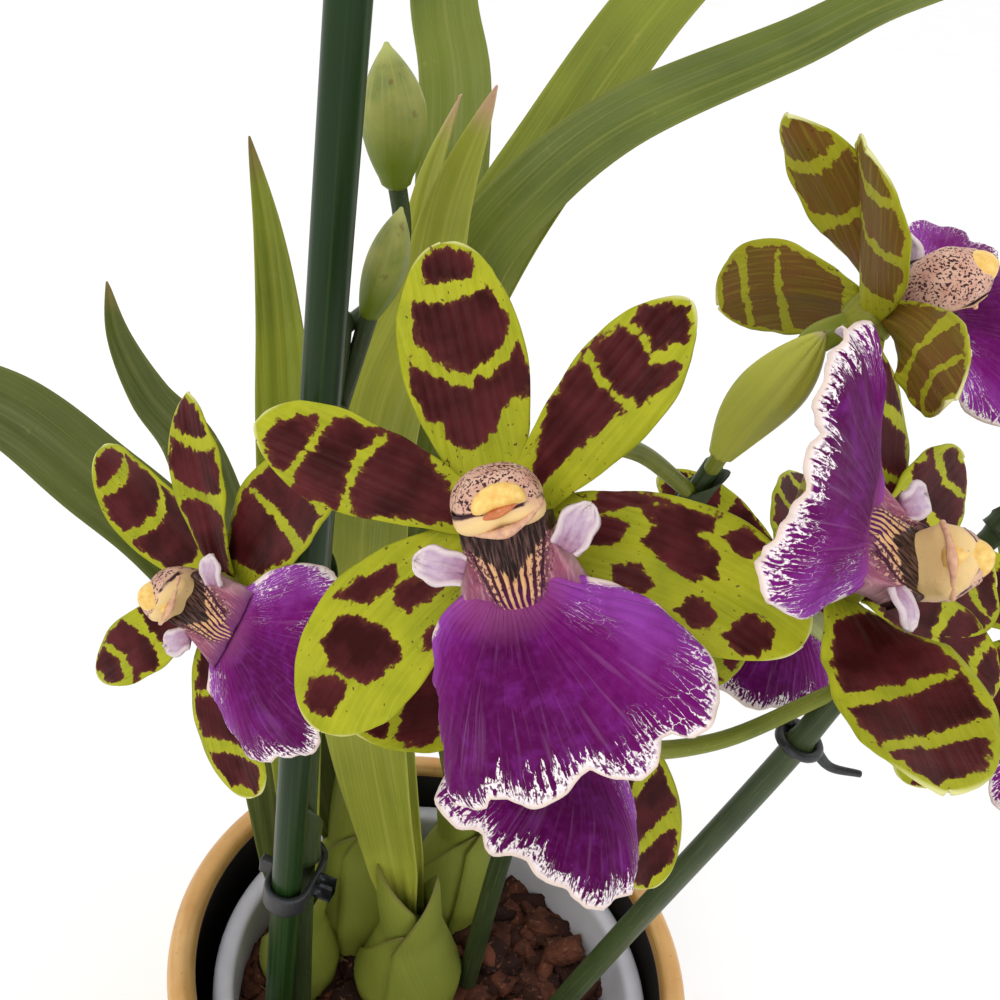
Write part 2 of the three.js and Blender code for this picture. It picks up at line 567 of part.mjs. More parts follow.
function addLeavesAndPots() {
  for (const [name, leaf] of Object.entries(leaves)) {
    const young = name === 'leaf_5' || name === 'leaf_8';
    plant.add(mesh(name, leafBlade(leaf, 14, 2), young ? 'youngLeaf' : 'leaf'));
  }
  for (const [name, bulb] of Object.entries(pseudobulbs)) plant.add(mesh(name, pseudobulb(bulb, 0), 'bulb'));
  plant.add(mesh('bark_bed', barkBed(), 'bark'));
  plant.add(mesh('nursery_pot', nurseryPotBody(), 'greyPlastic'));
  plant.add(mesh('outer_pot', outerPotBody(), 'gold'));
}

addFlowers();
addStems();
addLeavesAndPots();

export default plant;
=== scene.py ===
import math
import random

import bmesh
import bpy
import numpy as np
from mathutils import Matrix, Vector


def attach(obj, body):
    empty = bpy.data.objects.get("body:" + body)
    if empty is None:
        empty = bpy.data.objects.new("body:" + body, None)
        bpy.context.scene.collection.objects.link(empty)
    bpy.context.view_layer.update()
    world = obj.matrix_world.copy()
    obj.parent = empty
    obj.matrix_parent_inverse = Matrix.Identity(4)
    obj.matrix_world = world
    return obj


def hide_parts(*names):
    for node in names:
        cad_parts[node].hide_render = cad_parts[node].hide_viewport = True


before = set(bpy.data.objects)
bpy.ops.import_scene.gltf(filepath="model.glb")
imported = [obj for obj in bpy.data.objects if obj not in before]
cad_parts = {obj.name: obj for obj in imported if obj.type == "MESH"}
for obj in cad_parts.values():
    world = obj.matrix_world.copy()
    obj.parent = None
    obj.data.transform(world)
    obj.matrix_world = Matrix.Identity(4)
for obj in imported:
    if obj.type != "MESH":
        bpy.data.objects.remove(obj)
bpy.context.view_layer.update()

mm = 0.001                       # the values below are millimetres, the scene is metres
scene = bpy.context.scene


# ---- colours and small node helpers ----

def hexColor(code):
    parts = [int(code[i:i + 2], 16) / 255 for i in (0, 2, 4)]
    linear = [c / 12.92 if c <= 0.04045 else ((c + 0.055) / 1.055) ** 2.4 for c in parts]
    return (*linear, 1.0)


def newMaterial(name, roughness=0.5, specular=0.5):
    made = bpy.data.materials.new(name)
    made.use_nodes = True
    shader = made.node_tree.nodes["Principled BSDF"]
    shader.inputs["Roughness"].default_value = roughness
    shader.inputs["Specular IOR Level"].default_value = specular
    return made, made.node_tree, shader


# The value is another node's output, the hex code of a colour, or a number.
def feed(tree, value, socket):
    if isinstance(value, bpy.types.NodeSocket):
        tree.links.new(value, socket)
    elif isinstance(value, str):
        socket.default_value = hexColor(value)
    else:
        socket.default_value = value


def mixColor(tree, factor, first, second):
    made = tree.nodes.new("ShaderNodeMix")
    made.data_type = "RGBA"
    feed(tree, factor, made.inputs[0])
    feed(tree, first, made.inputs[6])
    feed(tree, second, made.inputs[7])
    return made.outputs[2]


def maths(tree, kind, first, second=0.0, clamp=False):
    made = tree.nodes.new("ShaderNodeMath")
    made.operation = kind
    made.use_clamp = clamp
    feed(tree, first, made.inputs[0])
    feed(tree, second, made.inputs[1])
    return made.outputs[0]


def plus(tree, first, second):
    return maths(tree, "ADD", first, second)


def minus(tree, first, second):
    return maths(tree, "SUBTRACT", first, second)


def times(tree, first, second):
    return maths(tree, "MULTIPLY", first, second)


def larger(tree, first, second):
    return maths(tree, "MAXIMUM", first, second)


# How far a noise strays to either side of its middle.
def stray(tree, noise, amount):
    return times(tree, minus(tree, noise, 0.5), amount)


def spread(tree, value, low, high, start=0.0, end=1.0):
    made = tree.nodes.new("ShaderNodeMapRange")
    for spot, entry in enumerate((value, low, high, start, end)):
        feed(tree, entry, made.inputs[spot])
    return made.outputs[0]


# The second colour over the first, where the pattern goes from low to high.
def blend(tree, first, second, pattern, low, high, start=0.0, end=1.0):
    return mixColor(tree, spread(tree, pattern, low, high, start, end), first, second)


def readMark(tree, name):
    made = tree.nodes.new("ShaderNodeAttribute")
    made.attribute_name = name
    return made.outputs["Fac"]


def noiseOf(tree, vector, scale, detail, rough, warp):
    made = tree.nodes.new("ShaderNodeTexNoise")
    tree.links.new(vector, made.inputs["Vector"])
    made.inputs["Scale"].default_value = scale
    made.inputs["Detail"].default_value = detail
    made.inputs["Roughness"].default_value = rough
    made.inputs["Distortion"].default_value = warp
    return made.outputs["Fac"]


def stretched(tree, vector, stretch):
    made = tree.nodes.new("ShaderNodeMapping")
    tree.links.new(vector, made.inputs["Vector"])
    made.inputs["Scale"].default_value = stretch
    return made.outputs[0]


# Noise through the body of a piece.
def bodyNoise(tree, scale, detail=3.0, rough=0.55, warp=0.0, stretch=(1, 1, 1)):
    spot = tree.nodes.new("ShaderNodeTexCoord").outputs["Object"]
    return noiseOf(tree, stretched(tree, spot, stretch), scale, detail, rough, warp)


# Noise on the flat pattern of a piece, by how fine it is across and along.
def surfaceNoise(tree, across, along, detail=3.0, rough=0.55, warp=0.0):
    made = tree.nodes.new("ShaderNodeUVMap")
    made.uv_map = "surface"
    spot = stretched(tree, made.outputs[0], (across, along, 1))
    return noiseOf(tree, spot, 1.0, detail, rough, warp)


def flatVector(tree, x, y):
    made = tree.nodes.new("ShaderNodeCombineXYZ")
    feed(tree, x, made.inputs[0])
    feed(tree, y, made.inputs[1])
    return made.outputs[0]


# How far a spot is from the borders of scattered cells.
def cellsOf(tree, vector):
    made = tree.nodes.new("ShaderNodeTexVoronoi")
    made.feature = "DISTANCE_TO_EDGE"
    tree.links.new(vector, made.inputs["Vector"])
    made.inputs["Scale"].default_value = 1.0
    return made.outputs["Distance"]


# Light that spreads inside a soft skin: its share, and how far red, green and blue go in millimetres.
def addGlow(shader, share, reach):
    shader.inputs["Subsurface Weight"].default_value = share
    shader.inputs["Subsurface Radius"].default_value = [far * mm for far in reach]


# Every skin ends with its colour and with the relief that a pattern gives it, in millimetres.
def finishSkin(tree, shader, color, relief, strength, depth):
    tree.links.new(color, shader.inputs["Base Color"])
    bump = tree.nodes.new("ShaderNodeBump")
    bump.inputs["Strength"].default_value = strength
    bump.inputs["Distance"].default_value = depth * mm
    tree.links.new(relief, bump.inputs["Height"])
    tree.links.new(bump.outputs[0], shader.inputs["Normal"])


# ---- mesh helpers ----

patternSize = 40                 # millimetres of surface in one unit of the flat pattern
weldDistance = 1e-6              # corners nearer than this are one


def startMesh(*marks):
    bm = bmesh.new()
    bm.loops.layers.uv.new("surface")
    bm.verts.layers.deform.verify()
    for name in marks:
        bm.verts.layers.float.new(name)
    return bm


# A grid with u from 0 to 1 along it and v from -1 to 1 across it. The shape gives each spot's place, its
# flat place in millimetres for the pattern, and its marks.
def layGrid(bm, rows, cols, shape, world=None):
    made = bmesh.ops.create_grid(bm, x_segments=cols, y_segments=rows, size=1)["verts"]
    bm.faces.ensure_lookup_table()
    faces = bm.faces[-rows * cols:]
    spots = np.array([vert.co[:2] for vert in made])
    points, flat, marks = shape((spots[:, 1] + 1) / 2, spots[:, 0])
    if world is not None:
        points = world(points)
    for vert, point in zip(made, points * mm):
        vert.co = point
    for name, values in marks.items():
        if name == "thick":
            layer = bm.verts.layers.deform.verify()
            for vert, value in zip(made, values):
                vert[layer][0] = float(value)
        else:
            layer = bm.verts.layers.float[name]
            for vert, value in zip(made, values):
                vert[layer] = float(value)
    uvLayer = bm.loops.layers.uv["surface"]
    flatOf = dict(zip(made, flat / patternSize))
    for face in faces:
        for loop in face.loops:
            loop[uvLayer].uv = flatOf[loop.vert]
    return made


# Points on the smooth curve through the given ones, at even steps of its own parameter.
def curveThrough(points, steps):
    pts = [np.array(p, float) for p in points]
    pts = [2 * pts[0] - pts[1], *pts, 2 * pts[-1] - pts[-2]]
    spans = len(pts) - 3
    made = []
    for i in range(steps + 1):
        place = min(i / steps * spans, spans - 1e-9)
        k = int(place)
        t = place - k
        p0, p1, p2, p3 = pts[k:k + 4]
        d0, d1, d2 = (max(np.linalg.norm(b - a) ** 0.5, 1e-4) for a, b in ((p0, p1), (p1, p2), (p2, p3)))
        m1 = ((p1 - p0) / d0 - (p2 - p0) / (d0 + d1) + (p2 - p1) / d1) * d1
        m2 = ((p2 - p1) / d1 - (p3 - p1) / (d1 + d2) + (p3 - p2) / d2) * d1
        made.append(p1 + m1 * t + (-3 * p1 + 3 * p2 - 2 * m1 - m2) * t ** 2
                    + (2 * p1 - 2 * p2 + m1 + m2) * t ** 3)
    return np.array(made)


def lengthAlong(line):
    return np.concatenate([[0], np.cumsum(np.linalg.norm(np.diff(line, axis=0), axis=1))])


# The same curve at even steps of its length.
def evenCurve(points, places):
    fine = curveThrough(points, 400)
    run = lengthAlong(fine)
    want = np.asarray(places) * run[-1]
    return np.stack([np.interp(want, run, fine[:, i]) for i in range(3)], 1), run[-1]


def unit(vectors):
    return vectors / np.maximum(np.linalg.norm(vectors, axis=-1, keepdims=True), 1e-9)


def directions(line):
    return unit(np.gradient(line, axis=0))


# Two directions square to a line, from its own direction at each spot.
def lineFrame(along):
    spare = np.array([0, 1, 0]) if abs(along[:, 2]).mean() > 0.7 else np.array([0, 0, 1.0])
    side = unit(np.cross(spare, along))
    return side, np.cross(along, side)


# A closed tube along a line, domed at both ends. Its swell can vary with the way along it and the angle
# round it.
def layTube(bm, line, radii, sides, swell=None, dome=0.5, world=None):
    line = np.asarray(line, float)
    radii = np.asarray(radii, float)
    along = directions(line)
    capIn = np.array([0.0, 0.5, 0.85])
    capOut = dome * np.sqrt(1 - capIn ** 2)
    capRows = len(capIn)
    head = line[:1] - along[:1] * (radii[0] * capOut)[:, None]
    tail = line[-1:] + along[-1:] * (radii[-1] * capOut[::-1])[:, None]
    line = np.concatenate([head, line, tail])
    radii = np.concatenate([radii[0] * capIn, radii, radii[-1] * capIn[::-1]])
    along = np.concatenate([along[:1]] * capRows + [along] + [along[-1:]] * capRows)
    side, front = lineFrame(along)
    run = lengthAlong(line)
    rows = len(line) - 1

    def shape(u, v):
        row = np.rint(u * rows).astype(int)
        part = (row - capRows) / max(1, rows - 2 * capRows)
        turn = v * math.pi
        radius = radii[row] * (1 if swell is None else swell(part, turn))
        points = line[row] + (np.cos(turn) * radius)[:, None] * side[row] \
            + (np.sin(turn) * radius)[:, None] * front[row]
        flat = np.stack([turn * max(radii.max(), 0.1), run[row]], 1)
        found = {name: np.zeros(len(u)) for name in bm.verts.layers.float.keys()}
        found["thick"] = np.ones(len(u))
        if "along" in found:
            found["along"] = np.clip(part, 0, 1)
        if "around" in found:
            found["around"] = np.sin(turn)
        return points, flat, found

    made = layGrid(bm, rows, sides, shape, world)
    bmesh.ops.remove_doubles(bm, verts=made, dist=weldDistance)


# Part of a tube that clasps a line. It reaches to both sides of its turn, and its top edge runs to a point.
def layWrap(bm, line, radii, reach, rows, cols, turn, point, flare):
    line = np.asarray(line, float)
    radii = np.asarray(radii, float)[:, None]
    side, front = lineFrame(directions(line))
    steps = len(line) - 1
    run = lengthAlong(line)

    def shape(u, v):
        place = u * (1 - point * np.abs(v) ** 1.5) * steps
        low = np.clip(np.floor(place).astype(int), 0, steps - 1)
        part = (place - low)[:, None]

        def pick(values):
            return values[low] * (1 - part) + values[low + 1] * part

        angle = turn + v * reach
        radius = pick(radii)[:, 0] + flare * u ** 3
        points = pick(line) + (np.cos(angle) * radius)[:, None] * pick(side) \
            + (np.sin(angle) * radius)[:, None] * pick(front)
        flat = np.stack([v * reach * radius, run[low]], 1)
        found = {name: np.zeros(len(u)) for name in bm.verts.layers.float.keys()}
        found["thick"] = 0.35 + 0.65 * (1 - u ** 4)
        if "along" in found:
            found["along"] = u
        return points, flat, found

    layGrid(bm, rows, cols, shape)


# The phases of a piece's waves, the same each time for the same seed.
def wavePhases(seed, count):
    rng = random.Random(seed)
    return [rng.uniform(0, 6.28) for _ in range(count)]


def finishPiece(bm, name, materials, nodes=(), thickness=None, offset=0.0, recalc=False):
    if recalc:
        bmesh.ops.recalc_face_normals(bm, faces=bm.faces)
    for face in bm.faces:
        face.smooth = True
    data = bpy.data.meshes.new(name)
    bm.to_mesh(data)
    bm.free()
    piece = bpy.data.objects.new(name, data)
    scene.collection.objects.link(piece)
    piece.vertex_groups.new(name="thick")
    for material in materials:
        data.materials.append(material)
    if thickness is not None:
        wall = piece.modifiers.new("wall", "SOLIDIFY")
        wall.thickness = thickness * mm
        wall.offset = offset
        wall.vertex_group = "thick"
        wall.thickness_vertex_group = 0.2        # the least part of the thickness at an edge
        wall.material_offset = min(1, len(materials) - 1)
        wall.material_offset_rim = min(2, len(materials) - 1)
    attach(piece, "root")
    if nodes:
        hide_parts(*nodes)
    return piece


# ---- flower shapes ----

sepal = {"width": 18, "base": 0.42, "widest": 0.56, "blunt": 0.5, "set": -0.9}
petal = {"width": 13.5, "base": 0.42, "widest": 0.62, "blunt": 0.6, "set": 0.6}
core = {"radius": 4.4, "front": 1.4, "back": 3.6, "clear": 0.3}

tepalShapes = {
    "dorsal_sepal": {**sepal, "length": 35.5, "angle": 89, "sweep": 1, "rise": 2, "curl": -4, "cup": 36},
    "petal_right": {**petal, "length": 34.5, "angle": 35, "sweep": 3, "rise": 14, "curl": -16, "cup": 26},
    "petal_left": {**petal, "length": 32.5, "angle": 143, "sweep": 2, "rise": 12, "curl": -14, "cup": 26},
    "lateral_sepal_right": {**sepal, "width": 19, "length": 39, "angle": -18, "sweep": -36, "rise": 2,
                            "curl": -8, "cup": 24},
    "lateral_sepal_left": {**sepal, "width": 19, "length": 36, "angle": 201, "sweep": 30, "rise": -1,
                           "curl": -6, "cup": 24},
}

# Each flower: its centre, the way it faces, its roll and size, how its lip rolls, tilts and turns, and the
# turn, lift and twist of any tepal that stands away from its usual place.
flowerPoses = {
    "a": {"at": [-10, -62.6, 308.3], "heading": -11, "pitch": 29, "roll": -32, "size": 1,
          "rolled": [0.034, 0.006]},
    "b": {"at": [8.9, -40.3, 260.2], "heading": 26, "pitch": 57, "roll": 23, "size": 1,
          "rolled": [0.01, 0.03], "lipTilt": 44,
          "moved": {"lateral_sepal_left": [-14, 4, 0], "lateral_sepal_right": [-1, -27, 0]}},
    "c": {"at": [-54.7, -36.3, 263.9], "heading": -34, "pitch": 18, "roll": -82, "size": 0.92,
          "rolled": [0.01, 0.01], "lipTilt": 14,
          "moved": {"dorsal_sepal": [-8, 14, 0], "petal_left": [12, 5, 0], "petal_right": [0, 7, 0],
                    "lateral_sepal_left": [7, 2, 0], "lateral_sepal_right": [14, 11, 0]}},
    "d": {"at": [36.5, -62.8, 314.1], "heading": 59, "pitch": 40, "roll": 121, "size": 0.95,
          "rolled": [0.003, 0.019], "lipTilt": 37, "lipTurn": -24,
          "moved": {"dorsal_sepal": [5, 10, 0], "petal_left": [-16, 5, 0], "petal_right": [34, 2, 0],
                    "lateral_sepal_left": [-50, 7, 0], "lateral_sepal_right": [-1, 34, 60]}},
    "e": {"at": [37.6, -25.3, 336.6], "heading": 98, "pitch": 37, "roll": -38, "size": 0.95,
          "rolled": [0.01, 0.01], "lipTilt": 72,
          "moved": {"dorsal_sepal": [-7, 5, 0], "petal_left": [-9, -5, -45], "petal_right": [25, -13, 45],
                    "lateral_sepal_left": [10, -36, 0], "lateral_sepal_right": [-12, -28, 0]}},
    "f": {"at": [85.9, -38.7, 297.4], "heading": 0, "pitch": 32, "roll": -18, "size": 0.92,
          "rolled": [0.01, 0.01], "moved": {"petal_left": [5, -20, 0], "dorsal_sepal": [-4, -18, 0]}},
    "g": {"at": [52.3, 13, 264], "heading": 4, "pitch": 48, "roll": 16, "size": 0.92,
          "rolled": [0.02, 0.02], "moved": {"petal_left": [24, -6, 0], "dorsal_sepal": [-1, -34, 0]}},
}


def facing(heading, pitch):
    level = Vector((0, -math.cos(math.radians(pitch)), math.sin(math.radians(pitch))))
    return Matrix.Rotation(math.radians(heading), 3, "Z") @ level


# Turns a flower's own millimetres (x to its side, y to the dorsal sepal, z forward) into the row's.
def flowerWorld(pose):
    forward = facing(pose["heading"], pose["pitch"])
    up = (Vector((0, 0, 1)) - forward * forward.z).normalized()
    up = Matrix.Rotation(math.radians(-pose["roll"]), 3, forward) @ up
    basis = np.array([up.cross(forward), up, forward]) * pose["size"]
    return lambda points: points @ basis + np.array(pose["at"], float)


# Dark blotches on the front flower's tepals: outlines in length from base to tip, and from side to side.
blotchOutlines = {
    "dorsal_sepal": [
        [(0.94, -0.83), (0.98, -0.6), (0.98, 0.38), (0.94, 0.8), (0.87, 0.75), (0.84, 0.5), (0.84, -0.3),
         (0.87, -0.6)],
        [(0.8, -0.8), (0.77, -0.24), (0.77, 0.33), (0.78, 0.74), (0.71, 0.82), (0.62, 0.9), (0.55, 0.67),
         (0.5, 0.33), (0.48, 0), (0.5, -0.26), (0.57, -0.51), (0.67, -0.75)],
        [(0.61, -0.88), (0.56, -0.8), (0.51, -0.6), (0.45, -0.31), (0.43, 0), (0.47, 0.17), (0.44, 0.35),
         (0.48, 0.61), (0.54, 0.92), (0.42, 1), (0.32, 1), (0.35, 0.62), (0.27, 0.43), (0.2, 0.02),
         (0.19, -0.5), (0.25, -0.74), (0.3, -0.68), (0.33, -0.92), (0.44, -0.93)]],
    "petal_left": [
        [(0.95, -0.39), (0.91, 0.43), (0.82, 0.65), (0.73, 0.72), (0.74, 0.32), (0.77, -0.22), (0.78, -0.88),
         (0.84, -0.95), (0.91, -0.77)],
        [(0.68, 0.76), (0.59, 0.88), (0.46, 1), (0.49, 0.55), (0.55, 0.07), (0.53, -0.46), (0.52, -0.98),
         (0.61, -1), (0.73, -1), (0.75, -0.86), (0.74, -0.23), (0.7, 0.31)],
        [(0.46, 0.53), (0.43, 1), (0.36, 1.1), (0.27, 0.99), (0.12, 0.6), (0, 0.2), (0, -0.5), (0.14, -0.75),
         (0.26, -0.85), (0.37, -1), (0.47, -1), (0.5, -0.51), (0.5, -0.06)]],
    "petal_right": [
        [(0.98, 0.43), (0.92, 0.77), (0.87, 0.8), (0.83, 0.36), (0.8, 0.28), (0.76, 0.07), (0.8, -0.29),
         (0.8, -0.73), (0.84, -0.9), (0.91, -0.87)],
        [(0.77, -0.86), (0.77, -0.5), (0.76, -0.14), (0.73, 0.2), (0.78, 0.57), (0.8, 0.88), (0.75, 0.9),
         (0.67, 0.73), (0.58, 0.58), (0.56, 0.08), (0.58, -0.47), (0.63, -0.86), (0.69, -0.93)],
        [(0.61, -0.97), (0.56, -0.63), (0.54, -0.04), (0.54, 0.43), (0.46, 0.34), (0.33, 0.24), (0.2, 0.2),
         (0, 0.25), (0, -0.3), (0.12, -0.48), (0.23, -0.77), (0.36, -1), (0.49, -1)]],
    "lateral_sepal_right": [
        [(0.17, -0.82), (0.2, -1), (0.27, -1), (0.38, -1), (0.4, -0.9), (0.32, -0.74), (0.24, -0.58),
         (0.19, -0.56)],
        [(0.14, -0.19), (0.18, -0.56), (0.24, -0.54), (0.31, -0.45), (0.3, -0.12), (0.23, 0.11),
         (0.16, 0.16)],
        [(0.32, -0.76), (0.4, -0.86), (0.48, -0.92), (0.56, -0.94), (0.57, -0.85), (0.53, -0.57),
         (0.61, -0.43), (0.64, -0.13), (0.58, 0.09), (0.49, 0.08), (0.41, -0.09), (0.35, -0.2),
         (0.38, -0.49)],
        [(0.59, -0.76), (0.63, -0.92), (0.69, -0.95), (0.72, -0.88), (0.7, -0.63), (0.64, -0.5)],
        [(0.28, 0.39), (0.34, 0.18), (0.42, 0.21), (0.46, 0.39), (0.4, 0.62), (0.33, 0.61)],
        [(0.55, 0.6), (0.58, 0.32), (0.65, 0.22), (0.7, 0.36), (0.7, 0.62), (0.64, 0.69)],
        [(0.75, 0.65), (0.77, 0.33), (0.8, 0.02), (0.89, 0.13), (0.92, 0.55), (0.91, 0.85), (0.85, 0.9),
         (0.79, 0.82)]],
    "lateral_sepal_left": [
        [(0.52, 0.85), (0.45, 0.84), (0.36, 0.77), (0.27, 0.66), (0.29, 0.39), (0.37, 0.4), (0.44, 0.41),
         (0.5, 0.6)],
        [(0.36, 0.33), (0.28, 0.29), (0.2, 0.08), (0.2, -0.27), (0.27, -0.24), (0.37, -0.17), (0.39, 0.08)],
        [(0.68, 0.68), (0.6, 0.69), (0.53, 0.51), (0.49, 0.14), (0.49, -0.26), (0.51, -0.48), (0.61, -0.47),
         (0.7, -0.37), (0.75, -0.03), (0.75, 0.37)],
        [(0.88, 0.72), (0.82, 0.64), (0.77, 0.34), (0.76, 0.01), (0.82, -0.18), (0.92, -0.09), (0.95, 0.5),
         (0.93, 0.7)],
        [(0.41, -0.57), (0.33, -0.54), (0.26, -0.75), (0.31, -0.93), (0.39, -0.86), (0.44, -0.71)]],
}

# Bands on the other flowers: start and end along the tepal, slant, bow, and the green left at the sides.
bandSets = {
    "dorsal_sepal": [(0.18, 0.46, 0.02, 0.1, 1), (0.52, 0.76, 0.0, 0.08, 0.8), (0.83, 0.97, -0.02, 0.03, 1)],
    "petal_left": [(-0.1, 0.45, 0.06, -0.04, 0.5), (0.5, 0.72, 0.08, 0.05, 0.5),
                   (0.78, 0.96, 0.06, 0.03, 0.7)],
    "petal_right": [(-0.1, 0.42, -0.06, -0.04, 0.5), (0.47, 0.7, -0.05, 0.06, 0.5),
                    (0.77, 0.96, -0.04, 0.04, 0.7)],
    "lateral_sepal_right": [(0.1, 0.46, 0.07, 0.05, 1.2), (0.52, 0.72, 0.1, 0.04, 1),
                            (0.78, 0.95, 0.08, 0.04, 1.1)],
    "lateral_sepal_left": [(0.1, 0.44, -0.07, 0.05, 1.2), (0.5, 0.71, -0.1, 0.04, 1),
                           (0.77, 0.95, -0.08, 0.04, 1.1)],
}


# Distance in from the outline's edge; negative outside.
def insideBy(points, outline):
    a = np.asarray(outline, float)
    b = np.roll(a, -1, axis=0)
    edge = b - a
    rel = points[:, None, :] - a[None]
    part = np.clip((rel * edge).sum(2) / np.maximum((edge ** 2).sum(1), 1e-9), 0, 1)
    near = np.linalg.norm(rel - part[..., None] * edge, axis=2).min(1)
    above = (a[None, :, 1] > points[:, None, 1]) != (b[None, :, 1] > points[:, None, 1])
    cross = a[None, :, 0] + (points[:, None, 1] - a[None, :, 1]) * edge[None, :, 0] \
        / np.where(np.abs(edge[None, :, 1]) < 1e-9, 1e-9, edge[None, :, 1])
    odd = (above & (points[:, None, 0] < cross)).sum(1) % 2 == 1
    return np.where(odd, near, -near)


def widthAlong(u, shape):
    widest = shape["widest"]
    rise = shape["base"] + (1 - shape["base"]) * np.sin(np.pi / 2 * np.minimum(1, u / widest))
    fall = np.maximum(0.0, np.cos(np.pi / 2 * np.clip((u - widest) / (1 - widest), 0, 1))) ** shape["blunt"]
    return np.maximum(0.015, np.where(u < widest, rise, fall))


# How deep each spot is inside the dark blotches, in millimetres, from their outlines.
def outlinedMark(flat, shape, outlines):
    mark = np.full(len(flat), -9.0)
    for outline in outlines:
        ends = np.array(outline, float)
        wide = widthAlong(np.clip(ends[:, 0], 0, 1), shape) * shape["width"] / 2
        corners = np.stack([ends[:, 1] * wide, ends[:, 0] * shape["length"]], 1)
        mark = np.maximum(mark, insideBy(flat, corners))
    return mark


# The same from bands across the tepal.
def bandedMark(u, v, half, shape, bands):
    mark = np.full(len(u), -9.0)
    for start, end, slant, bow, plain in bands:
        shift = slant * v + bow * v ** 2
        within = np.minimum(u - start - shift, end + shift - u) * shape["length"]
        mark = np.maximum(mark, np.minimum(within, half * (1 - np.abs(v)) - plain))
    return mark


def tepalShape(shape, rows, rooted, seed, outlines=None, bands=None):
    waves = wavePhases(seed, 6)
    places = 1 - (1 - np.linspace(0, 1, rows + 1)) ** 1.5
    middles, normals, sides = [], [], []
    for i, u in enumerate(places):
        turn = math.radians(shape["angle"] + shape["sweep"] * u)
        lift = math.radians(shape["rise"] + shape["curl"] * u)
        out = Vector((math.cos(turn), math.sin(turn), 0))
        along = out * math.cos(lift) + Vector((0, 0, math.sin(lift)))
        twist = Matrix.Rotation(math.radians(shape["twist"]) * min(1, 3 * u), 3, along)
        normal = twist @ (out * -math.sin(lift) + Vector((0, 0, math.cos(lift))))
        if i == 0:
            at = out * (core["radius"] + core["clear"] - rooted) + Vector((0, 0, shape["set"]))
        else:
            at = at + along * (shape["length"] + rooted) * (u - places[i - 1])
        middles.append(at[:])
        normals.append(normal[:])
        sides.append(along.cross(normal)[:])
    middles, normals, sides = (np.array(found) for found in (middles, normals, sides))

    def place(u, v):
        row = np.rint(u * rows).astype(int)
        u = places[row]
        half = widthAlong(u, shape) * shape["width"] / 2
        half = half * (1 + 0.014 * np.sin(9 * u + waves[0] + 2 * np.sign(v))
                       + 0.008 * np.sin(23 * u + waves[1] * v))
        cup = math.radians(shape["cup"])
        bend = cup * v
        radius = half / cup
        out = normals[row] * np.cos(bend)[:, None] - sides[row] * np.sin(bend)[:, None]
        # the groove down the middle, the veins, the waves of the edge and a slow bend of the whole
        lift = -0.35 * np.exp(-(v * half / 0.7) ** 2) * np.minimum(1, 3 * (1 - u))
        lift += 0.07 * np.cos(v * half * 4.4) * np.minimum(1, 4 * (1 - u))
        lift += 0.5 * np.abs(v) ** 3 * np.sin(8 * u + waves[2] + 1.5 * np.sign(v)) * np.minimum(1, 5 * u)
        lift += 0.16 * np.abs(v) ** 4 * np.sin(27 * u + waves[3] + np.sign(v)) - 0.5 * np.abs(v) ** 6
        lift += 0.3 * np.sin(5 * u + waves[4]) * np.sin(2.2 * v + waves[5])
        points = middles[row] + sides[row] * (np.sin(bend) * radius)[:, None] \
            + normals[row] * ((1 - np.cos(bend)) * radius)[:, None] + out * lift[:, None]
        flat = np.stack([v * half, u * shape["length"]], 1)
        if outlines is not None:
            mark = outlinedMark(flat, shape, outlines)
        else:
            mark = bandedMark(u, v, half, shape, bands)
        edge = half * (1 - np.abs(v)) + 0.2 * (1 - u) * shape["length"] * np.abs(v)
        thick = 0.25 + 0.75 * (1 - np.abs(v) ** 5) * np.minimum(1, 8 * (1 - u))
        return points, flat, {"mark": mark, "edge": edge, "along": u * shape["length"], "thick": thick}

    return place


# ---- tepal materials: blotches with ragged ends, a pale rim, fine veins ----

tepalLook = {"green": "a5a722", "deepGreen": "8a911b", "rim": "d2d090", "vein": "bdb93e", "blotch": "330a0a",
             "blotchSoft": "5c2226", "blotchVein": "280a10", "blotchVeinShare": 0.28, "blotchEdge": "6b3a24",
             "speck": "40181a", "roughness": 0.42}
tepalBackLook = {**tepalLook, "backGreen": "9a9422", "backBlotch": "5e4412", "backSoft": "6f3826",
                 "blotchVein": "8a7f28", "blotchVeinShare": 0.5, "blotchShare": 0.9, "roughness": 0.52}


